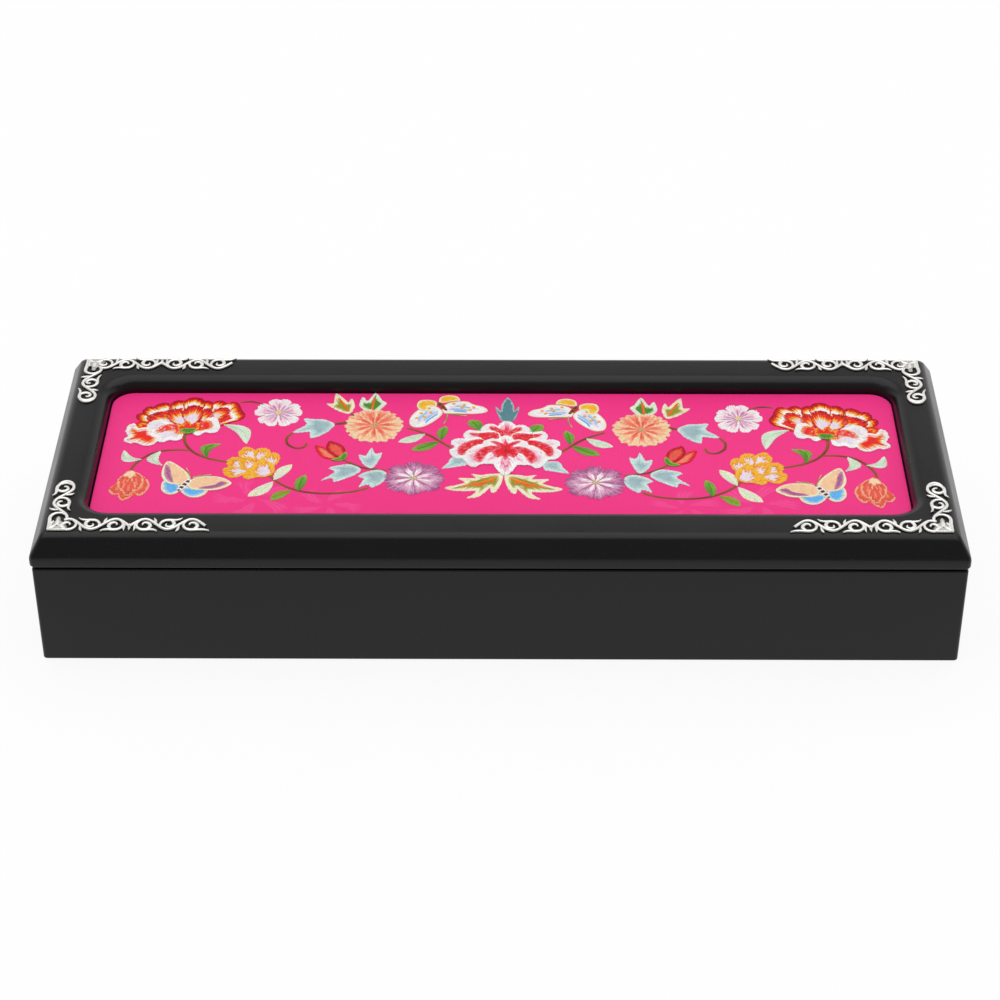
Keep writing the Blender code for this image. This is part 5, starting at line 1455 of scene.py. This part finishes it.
def central_peony(needle):
    """White at its rims with red streaks: one half, its mirror image and what lies between."""
    patches(needle, PEONY_SIDE)
    needle.mirrored(0, UNSHIFTED, PEONY_DROP)
    begun = len(needle.stitches)
    patches(needle, BROAD_LEAF)
    needle.stem(BROAD_LEAF_VEIN, BROAD_VEIN_WIDTH, ((0, "amber"), (1, "orange")), VEIN_LAYER)
    needle.mirrored(begun, BROAD_LEAF_SHIFT, PEONY_DROP)
    patches(needle, PEONY_MIDDLE)


def blossom(needle, centre, squat, layer, petals, turn, shape, shadings):
    """An open flower of petals round its centre, nearly equal as a hand makes them. The upper ones
    may have a deeper shade than the lower ones."""
    inner, outer, width, notch = shape
    for index in range(petals):
        way = turn + FULL_TURN * index / petals + needle.wander(PETAL_TURN_WANDER)
        rise = heading_of(way).y
        reach = outer * (1 + needle.wander(PETAL_SIZE_WANDER)) * (1 - squat * abs(rise))
        shading = shadings[0] if rise > UPPER_PETAL_RISE else shadings[-1]
        points = petal_points(centre, way, inner, reach, width, notch)
        needle.patch(shading, layer + PETAL_LAP * (index % 2), centre, points)


def open_flowers(needle):
    """The pink, the orange and the purple flower, seen from above."""
    for centre, shift, squat, petals, streaks, eye in OPEN_FLOWERS:
        begun = len(needle.stitches)
        blossom(needle, centre, squat, PETAL_LAYER, *petals)
        blossom(needle, centre, squat, STREAK_LAYER, *streaks)
        needle.knots(ring_of(centre, EYE_RADIUS, EYE_KNOTS), eye, EYE_LAYER)
        needle.mirrored(begun, shift)


def side_flowers(needle):
    """The golden and the coral flower and the red bud, seen from their sides."""
    for drawing, shift in (
        (GOLDEN_FLOWER, GOLDEN_SHIFT), (CORAL_FLOWER, CORAL_SHIFT), (RED_BUD, UNSHIFTED),
    ):
        begun = len(needle.stitches)
        patches(needle, drawing)
        needle.mirrored(begun, shift)


def ring_of(centre, radius, count):
    """The centre and the places of a ring round it."""
    places = [tuple(centre)]
    for index in range(count):
        places.append(tuple(Vector(centre) + heading_of(FULL_TURN * index / count) * radius))
    return places


def butterflies(needle):
    """A white and yellow one above, and a peach and purple one below, on each half."""
    winged(needle, UPPER_BUTTERFLY, UPPER_FEELERS)
    for place in WING_SPOTS:
        needle.spot(place, WING_SPOT_SIZE, "gold", WING_MARK_LAYER)
    for thread, width, points in WING_STREAKS:
        needle.line(points, width, thread, WING_MARK_LAYER)
    body(needle, *UPPER_BODY)
    needle.mirrored(0, UPPER_BUTTERFLY_SHIFT)
    begun = len(needle.stitches)
    winged(needle, LOWER_BUTTERFLY, LOWER_FEELERS)
    body(needle, *LOWER_BODY)
    needle.mirrored(begun, LOWER_BUTTERFLY_SHIFT)


def winged(needle, drawing, feelers):
    """A butterfly's wings with a cream thread round each, and its feelers."""
    patches(needle, drawing)
    for shading, layer, focus, points in drawing:
        if shading != "purple band":
            rim = closed_path(points)[::PATH_STEPS // 2]
            needle.line(rim + [rim[0]], EDGE_THREAD_WIDTH, "cream", layer + WING_RIM_LIFT)
    for width, points in feelers:
        needle.stem(points, width, FEELER_SILKS, FEELER_LAYER)


def body(needle, head, tail, width, thread):
    """A butterfly's body, in short stitches across it, with dark spots down its middle."""
    head, tail = Vector(head), Vector(tail)
    along = (tail - head).normalized()
    side = Vector((-along.y, along.x))
    steps = round((tail - head).length / THREAD_SPACING)
    for index in range(steps):
        part = (index + 0.5) / steps
        swell = math.sin(math.pi * (BODY_HEAD_SHARE + BODY_LENGTH_SHARE * part))
        reach = width / 2 * swell ** BODY_POINTEDNESS
        middle = head.lerp(tail, part)
        needle.stitch(middle - side * reach, middle + side * reach, THREADS[thread], BODY_LAYER)
        if index % BODY_SPOT_STEP > 1:
            core = side * reach * BODY_SPOT_SHARE
            needle.stitch(middle - core, middle + core, THREADS["deep brown"], BODY_LAYER + 1)


def stems_and_leaves(needle):
    """The brown stems that join the flowers of one half, and their green, mint and grey leaves."""
    for stems, plain_leaves, patched_leaves, veins, shift in (
        (STEMS, PLAIN_LEAVES, LOBED_LEAVES, (), UNSHIFTED),
        (CORAL_BRANCH, CORAL_BRANCH_LEAVES, (), (), CORAL_BRANCH_SHIFT),
        ((), (), TOP_LEAVES, TOP_LEAF_VEINS, TOP_LEAVES_SHIFT),
    ):
        begun = len(needle.stitches)
        for width, points in stems:
            needle.stem(points, width, STEM_SILKS, BRANCH_LAYER)
        for leaf in plain_leaves:
            needle.leaf(*leaf)
        patches(needle, patched_leaves)
        for width, points in veins:
            needle.line(points, width, "orange", VEIN_LAYER)
        needle.mirrored(begun, shift)


def thread_shaping():
    """Turns each stitch, an edge with a colour, a width and a height, into a raised thread."""
    made = Shaping("raised_threads", (
        ("Thread Sides", "Int"), ("Points Along", "Int"), ("Crown Height", "Float"),
        ("Flatness", "Float"), ("Finish", "Material"),
    ))
    line = made.out(made.node("GeometryNodeMeshToCurve", Mesh=made.wanted("Geometry")))
    line = made.out(
        made.node("GeometryNodeResampleCurve", Curve=line, Count=made.wanted("Points Along"))
    )
    part = made.out(made.node("GeometryNodeSplineParameter"), "Factor")
    line = made.raised(line, part * (1 - part) * made.wanted("Crown Height"))
    thread = made.swept(line, made.wanted("Thread Sides"))
    over = made.height() - made.named("foot_height")
    made.end(made.raised(thread, over * (made.wanted("Flatness") - 1)))
    return made


def drawn_lines(name, places, edges, **measures):
    """Bare lines in space, with the measures that a shaping tree reads at their points."""
    mesh = bpy.data.meshes.new(name)
    mesh.from_pydata(places, edges, [])
    for label, values in measures.items():
        mesh.attributes.new(label, "FLOAT", "POINT").data.foreach_set("value", values)
    return placed(name, mesh)


def sewn_piece(name, needle, shaping, finish):
    """Turn collected stitches into one piece of embroidery that lies on the silk."""
    places, edges, widths, tones = [], [], [], []
    for start, end, tone, layer, width in needle.stitches:
        height = SILK_Z + (layer * LAYER_HEIGHT - THREAD_SINK)
        for point in (start, end):
            places.append((point.x * MM, MIDDLE_Y + point.y * MM, height))
            widths.append(width * MM / 2)
            tones += tone
        edges.append((len(places) - 2, len(places) - 1))
    heights = [place[2] for place in places]
    piece = drawn_lines(name, places, edges, half_width=widths, foot_height=heights)
    colours = piece.data.attributes.new("thread_colour", "FLOAT_COLOR", "POINT")
    colours.data.foreach_set("color", tones)
    shape_with(piece, shaping, {
        "Thread Sides": THREAD_SIDES, "Points Along": THREAD_POINTS,
        "Crown Height": CROWN_HEIGHT, "Flatness": THREAD_FLATNESS, "Finish": finish,
    }, ("half_width", "foot_height"))
    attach(piece, "lid")


def make_embroidery():
    """All the needlework: stems and leaves first, then the flowers and the butterflies."""
    shaping = thread_shaping()
    finish = silk_thread()
    for name, seed, motif in (
        ("sewn_stems_and_leaves", 3, stems_and_leaves),
        ("sewn_fan_peonies", 5, fan_peonies),
        ("sewn_central_peony", 7, central_peony),
        ("sewn_open_flowers", 11, open_flowers),
        ("sewn_side_flowers", 17, side_flowers),
        ("sewn_butterflies", 13, butterflies),
    ):
        needle = Needle(seed)
        motif(needle)
        sewn_piece(name, needle, shaping, finish)


# The corner mounts

def eased(shares, part):
    """A value on the way through evenly spread shares."""
    place = part * (len(shares) - 1)
    step = min(int(place), len(shares) - 2)
    return shares[step] + (shares[step + 1] - shares[step]) * (place - step)


def around(centre_along, centre_across, reach, turn, width):
    """A station on a round stretch: where it lies along and across the band, and its width."""
    along = centre_along + reach * math.cos(turn)
    across = centre_across + reach * math.sin(turn)
    return (along, across, width)


def winding_stem(last_loop, step, start, end, hooped):
    """The stem winds along the leg as a wave whose last crest is over the last loop."""
    stations = []
    for index in range(STEM_STATIONS + 1):
        part = index / STEM_STATIONS
        along = start + (end - start) * part
        wave = math.cos(math.pi * (along - last_loop) / step)
        across = STEM_CENTRE_SHARE + STEM_SWING_SHARE * wave
        stations.append((along, across, eased(STEM_WIDTH_SHARES, part)))
    if hooped:
        for index in range(1, HOOP_STATIONS + 1):
            turn = HOOP_SWEEP * index / HOOP_STATIONS
            along = last_loop + HOOP_REACH_SHARE * math.sin(turn)
            across = STEM_CENTRE_SHARE + STEM_SWING_SHARE * math.cos(turn)
            stations.append((along, across, STEM_WIDTH_SHARES[-1]))
    return stations


def loop_band(centre, ending):
    """The band on a loop's open side. Its ending is a leaf, a longer tail, the corner or an arch."""
    stations = []
    last, tip = BAND_ENDINGS[ending]
    for index in range(BAND_STATIONS + 1):
        part = index / BAND_STATIONS
        turn = BAND_START_ANGLE + (last - BAND_START_ANGLE) * part
        width = eased(BAND_WIDTH_SHARES, part)
        stations.append(around(centre, LOOP_CENTRE_SHARE, LOOP_RADIUS_SHARE, turn, width))
    for along, across, width in tip:
        stations.append((centre + along, LOOP_CENTRE_SHARE + across, width))
    return stations


def loop_curl(centre):
    """The curl that leaves the band and winds in to its eye on a tightening spiral."""
    stations = []
    for index in range(CURL_STATIONS + 1):
        part = index / CURL_STATIONS
        turn = CURL_START_ANGLE - CURL_SWEEP * part
        closing = (1 - part) ** CURL_TIGHTNESS
        reach = CURL_EYE_SHARE + (LOOP_RADIUS_SHARE - CURL_EYE_SHARE) * closing
        width = eased(CURL_WIDTH_SHARES, part)
        stations.append(around(centre, LOOP_CENTRE_SHARE, reach, turn, width))
    return stations


def changed_over(stations):
    """The same stroke with the band's outer and inner edges changed over."""
    middle = 2 * LOOP_CENTRE_SHARE
    return [(along, middle - across, width) for along, across, width in stations]


def small_leaf(shares, place, heading, side):
    """A pointed leaf. heading is 1 away from the corner, and side is 1 on the inner edge."""
    stations = []
    for (along, across), width in zip(shares, LEAF_WIDTH_SHARES):
        across = across if side == 0 else LOOP_CENTRE_SHARE + side * across
        stations.append((place + heading * along, across, width))
    return stations


def scroll_run(step, stem_end, first_ending, hooped):
    """Three loops on one stem, away from the corner, with a leaf at each crossing."""
    loops = [FIRST_LOOP_SHARE + step * index for index in range(LOOPS_IN_RUN)]
    stem_start = FIRST_LOOP_SHARE - STEM_LEAD_SHARES[first_ending]
    strokes = [("stem", winding_stem(loops[-1], step, stem_start, stem_end, hooped))]
    for index, centre in enumerate(loops):
        ending = "leaf" if index > 0 else first_ending
        parts = [loop_band(centre, ending)]
        if ending != "arch":
            parts.append(loop_curl(centre))
        for stations in parts:
            strokes.append(("curl", changed_over(stations) if index % 2 else stations))
    for index in range(LOOPS_IN_RUN - 1):
        crossing = (loops[index] + loops[index + 1]) / 2
        side = 1 if index % 2 else -1
        strokes.append(("leaf", small_leaf(CROSSING_LEAF_SHARES, crossing, 1, side)))
    return strokes


def mount_strokes():
    """Every stroke of one mount: two runs that meet on the long leg and one up the short leg."""
    middle = LONG_LEG_MIDDLE_SHARE
    strokes = scroll_run(LOOP_STEP_SHARE, middle, "corner", False)
    for kind, stations in scroll_run(LOOP_STEP_SHARE, middle, "tail", False):
        mirrored = [(2 * middle - along, across, width) for along, across, width in stations]
        strokes.append((kind, mirrored))
    last_loop = FIRST_LOOP_SHARE + SHORT_LEG_LOOP_STEP_SHARE * (LOOPS_IN_RUN - 1)
    for kind, stations in scroll_run(SHORT_LEG_LOOP_STEP_SHARE, last_loop, "arch", True):
        strokes.append((kind, [(across, along, width) for along, across, width in stations]))
    for heading in (-1, 1):
        strokes.append(("leaf", small_leaf(MIDDLE_LEAF_SHARES, middle, heading, 0)))
    strokes.append(("leaf", small_leaf(KEYSTONE_LEAF_SHARES, middle, 1, 0)))
    strokes.append(("corner", list(CORNER_BELL_SHARES)))
    for stations in CORNER_LOBE_SHARES:
        strokes.append(("stem", list(stations)))
    for stations in CORNER_RIM_SHARES:
        strokes.append(("curl", list(stations)))
    return strokes


def mount_shaping():
    """Turns each stroke, a line with a width and a rise, into a rounded bar with a flat foot."""
    made = Shaping("rounded_strokes", (
        ("Bar Sides", "Int"), ("Step", "Float"), ("Foot Height", "Float"), ("Finish", "Material"),
    ))
    line = made.out(made.node("GeometryNodeMeshToCurve", Mesh=made.wanted("Geometry")))
    line = made.out(
        made.node("GeometryNodeCurveSplineType", {"spline_type": "CATMULL_ROM"}, Curve=line)
    )
    line = made.out(made.node(
        "GeometryNodeResampleCurve", {"mode": "LENGTH"}, Curve=line, Length=made.wanted("Step")
    ))
    bar = made.swept(line, made.wanted("Bar Sides"))
    over = made.height() - made.wanted("Foot Height")
    crest = made.sum("MAXIMUM", over, 0.0) * made.named("rise") / made.named("half_width")
    made.end(made.raised(bar, crest - over))
    return made


def make_mounts(finish):
    """Four mounts, each drawn from its own corner of the lid."""
    shaping = mount_shaping()
    strokes = mount_strokes()
    reach_x = LID_LENGTH / 2 - MOUNT_EDGE_INSET
    reach_y = LID_DEPTH / 2 - MOUNT_EDGE_INSET
    for place_y, across in (("front", -1), ("back", 1)):
        for place_x, along in (("left", -1), ("right", 1)):
            name = f"corner_mount_{place_y}_{place_x}"
            places, edges, widths, rises = [], [], [], []
            for kind, stations in strokes:
                for index, (x, y, width) in enumerate(stations):
                    if index > 0:
                        edges.append((len(places) - 1, len(places)))
                    outward = (reach_x - x * MOUNT_BAND, reach_y - y * MOUNT_BAND)
                    places.append((along * outward[0], MIDDLE_Y + across * outward[1], MOUNT_FOOT_Z))
                    widths.append(width * MOUNT_BAND / 2)
                    rises.append(MOUNT_THICKNESS * MOUNT_HEIGHT_SHARES[kind])
            mount = drawn_lines("scrolled_" + name, places, edges, half_width=widths, rise=rises)
            shape_with(mount, shaping, {
                "Bar Sides": MOUNT_BAR_SIDES, "Step": MOUNT_STEP, "Foot Height": MOUNT_FOOT_Z,
                "Finish": finish,
            }, ("half_width", "rise"))
            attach(mount, "lid")
            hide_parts(name)


# The velvet

def crowned_pad(name, length, depth, thickness):
    """A pad lying on its back: its face swells in the middle, and its sides pull in a little
    between the corners."""
    soft = PAD_EDGE_SOFTNESS
    crown = PAD_CROWN_SHARE * thickness
    pulled = min(PAD_PULL_SHARE * depth, PAD_LARGEST_PULL)
    shoulder = thickness - crown

    def ring(inset):
        return plan_ring(length / 2 - inset, inset - depth / 2, depth / 2 - inset, PAD_CORNER_RADIUS)

    sections = [(ring(soft / 2), 0), (ring(0), soft / 2)]
    for across, up in arc((0, shoulder - soft), soft, 0, QUARTER, ARRIS_STEPS // 2):
        sections.append((ring(soft - across), up))
    last = depth / 2 - PAD_CORNER_RADIUS
    for step in range(1, PAD_RINGS + 1):
        sections.append((ring(soft + (last - soft) * step / (PAD_RINGS + 1)), shoulder))
    pad = loft(name, sections)
    for vertex in pad.data.vertices:
        along = 2 * vertex.co.x / length
        across = 2 * vertex.co.y / depth
        if vertex.co.z >= shoulder - soft:
            rise = (1 - along ** 2) * (1 - across ** 2)
            vertex.co.z += crown * rise ** PAD_CROWN_POWER if rise > 0 else 0
        vertex.co.x -= pulled * along * (1 - across ** 2) * abs(along) ** PAD_PULL_POWER
        vertex.co.y -= pulled * across * (1 - along ** 2) * abs(across) ** PAD_PULL_POWER
    return pad


def make_velvet_pads():
    """Each pad and lining: velvet over card, laid against the wood behind it."""
    for node, body, nap, facing in (
        ("floor_velvet_pad", "box", FLAT_NAP_WAVES, (0, 0, 1)),
        ("front_velvet_lining", "box", UPRIGHT_NAP_WAVES, (0, 1, 0)),
        ("back_velvet_lining", "box", UPRIGHT_NAP_WAVES, (0, -1, 0)),
        ("left_velvet_lining", "box", UPRIGHT_NAP_WAVES, (1, 0, 0)),
        ("right_velvet_lining", "box", UPRIGHT_NAP_WAVES, (-1, 0, 0)),
        ("lid_velvet_pad", "lid", FLAT_NAP_WAVES, (0, 0, -1)),
    ):
        low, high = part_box(node)
        outward = Vector(facing)
        along = Vector((0, 1, 0)) if outward.x else Vector((1, 0, 0))
        across = outward.cross(along)
        size = Vector(high) - Vector(low)
        measures = [abs(size.dot(way)) for way in (along, across, outward)]
        pad = crowned_pad("soft_" + node, *measures)
        middle = (Vector(high) + Vector(low)) / 2
        foot = middle - outward * measures[2] / 2
        turn = Matrix((along, across, outward)).transposed().to_4x4()
        pad.data.transform(Matrix.Translation(foot) @ turn)
        smooth(pad)
        give(pad, wine_velvet("wine_velvet_" + node, nap))
        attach(pad, body)
        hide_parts(node)


# The studio

def set_camera():
    """The camera looks down at the case, a little from one side and a little rolled."""
    forward = Vector((0, math.cos(CAMERA_PITCH), -math.sin(CAMERA_PITCH)))
    upward = Vector((0, math.sin(CAMERA_PITCH), math.cos(CAMERA_PITCH)))
    right = Vector((1, 0, 0))
    turn = Matrix.Rotation(CAMERA_YAW, 3, "Z")
    forward, upward, right = turn @ forward, turn @ upward, turn @ right
    across = math.cos(CAMERA_ROLL) * right + math.sin(CAMERA_ROLL) * upward
    above = math.cos(CAMERA_ROLL) * upward - math.sin(CAMERA_ROLL) * right
    data = bpy.data.cameras.new("camera")
    data.lens = CAMERA_LENS
    data.sensor_width = CAMERA_SENSOR
    camera = placed("camera", data)
    frame_of_view = Matrix((across, above, -forward)).transposed().to_4x4()
    camera.matrix_world = Matrix.Translation(CAMERA_PLACE) @ frame_of_view
    bpy.context.scene.camera = camera


def set_world():
    """A white room for the camera. What the lacquer mirrors is bright low down at the back and
    darker higher up and behind the camera."""
    world = bpy.data.worlds.new("studio")
    world.use_nodes = True
    bpy.context.scene.world = world
    finish = Finish("studio", world.node_tree)
    direction = finish.out(finish.node("ShaderNodeTexCoord"), "Generated")
    _, backward, height = finish.parts(direction)
    stops = [(place, grey(brightness)) for place, brightness in ROOM_STOPS]
    rise = finish.node("ShaderNodeValToRGB", {"stops": stops}, Fac=height)
    at_the_back = finish.between(backward, *ROOM_BACK_SPAN)
    room = finish.mix(at_the_back, grey(ROOM_BEHIND), finish.out(rise, "Color"))
    rays = finish.node("ShaderNodeLightPath")
    shown = finish.mix(finish.out(rays, "Is Camera Ray"), room, grey(1))
    background = finish.node("ShaderNodeBackground", Color=shown, Strength=1.0)
    finish.node("ShaderNodeOutputWorld", Surface=finish.out(background))


def make_floor():
    """A pale table top. The camera sees it white, and the case's shadow stays on it."""
    shape = bmesh.new()
    bmesh.ops.create_grid(shape, x_segments=1, y_segments=1, size=FLOOR_REACH)
    floor = object_from(shape, "table_top")
    finish = Finish("table_top")
    paper = finish.noise(finish.place(), PAPER_WAVES, 2.0)
    shades = [grey(brightness) for brightness in PAPER_BRIGHTNESS]
    diffuse = finish.node("ShaderNodeBsdfDiffuse", Color=finish.mix(paper, *shades))
    white = finish.node("ShaderNodeEmission", Color=grey(1), Strength=1.0)
    rays = finish.node("ShaderNodeLightPath")
    seen = finish.sum("MAXIMUM", finish.out(rays, "Is Camera Ray"), finish.out(rays, "Is Glossy Ray"))
    blend = finish.node("ShaderNodeMixShader", Fac=seen * FLOOR_WHITE_SHARE)
    for socket, shader in zip(blend.inputs[1:], (diffuse, white)):
        finish.plug(socket, finish.out(shader))
    finish.node("ShaderNodeOutputMaterial", Surface=finish.out(blend))
    give(floor, finish.material)


def set_lamp():
    """One large soft box overhead, turned to the case."""
    data = bpy.data.lights.new("overhead_softbox", "AREA")
    data.shape = "RECTANGLE"
    data.size, data.size_y = LAMP_SIZE
    data.energy = LAMP_POWER
    lamp = placed("overhead_softbox", data)
    lamp.location = LAMP_PLACE
    lamp.rotation_mode = "QUATERNION"
    lamp.rotation_quaternion = (Vector() - Vector(LAMP_PLACE)).to_track_quat("-Z", "Y")


def finish_carried_over():
    """The hinges, screws and card keep their solids and get a finer finish."""
    brass = drawn_brass("hinge_brass", shade(222, 186, 108), shade(160, 122, 62))
    screw_brass = drawn_brass("screw_brass", shade(238, 214, 150), shade(190, 154, 90))
    card = pressed_card()
    for name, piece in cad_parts.items():
        if "_screw_" in name:
            give_slots(piece, screw_brass)
        elif "_hinge_" in name:
            give_slots(piece, brass)
        elif name == "silk_backing_card":
            give_slots(piece, card)


def give_slots(piece, material):
    """Put a finer material in the slots of a solid."""
    for slot in piece.material_slots:
        slot.material = material


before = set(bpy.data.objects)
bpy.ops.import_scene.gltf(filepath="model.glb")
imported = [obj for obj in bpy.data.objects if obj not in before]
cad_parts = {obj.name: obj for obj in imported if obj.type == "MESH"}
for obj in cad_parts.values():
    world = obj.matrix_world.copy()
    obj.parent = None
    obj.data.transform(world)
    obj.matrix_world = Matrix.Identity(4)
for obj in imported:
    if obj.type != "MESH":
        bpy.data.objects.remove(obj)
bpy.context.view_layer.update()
bpy.context.scene.view_settings.view_transform = "Standard"
set_camera()
set_world()
set_lamp()
make_floor()
lacquer = black_lacquer()
make_box(lacquer)
make_lid(lacquer)
make_silk(fuchsia_silk())
make_embroidery()
make_mounts(silvered_metal())
make_velvet_pads()
finish_carried_over()
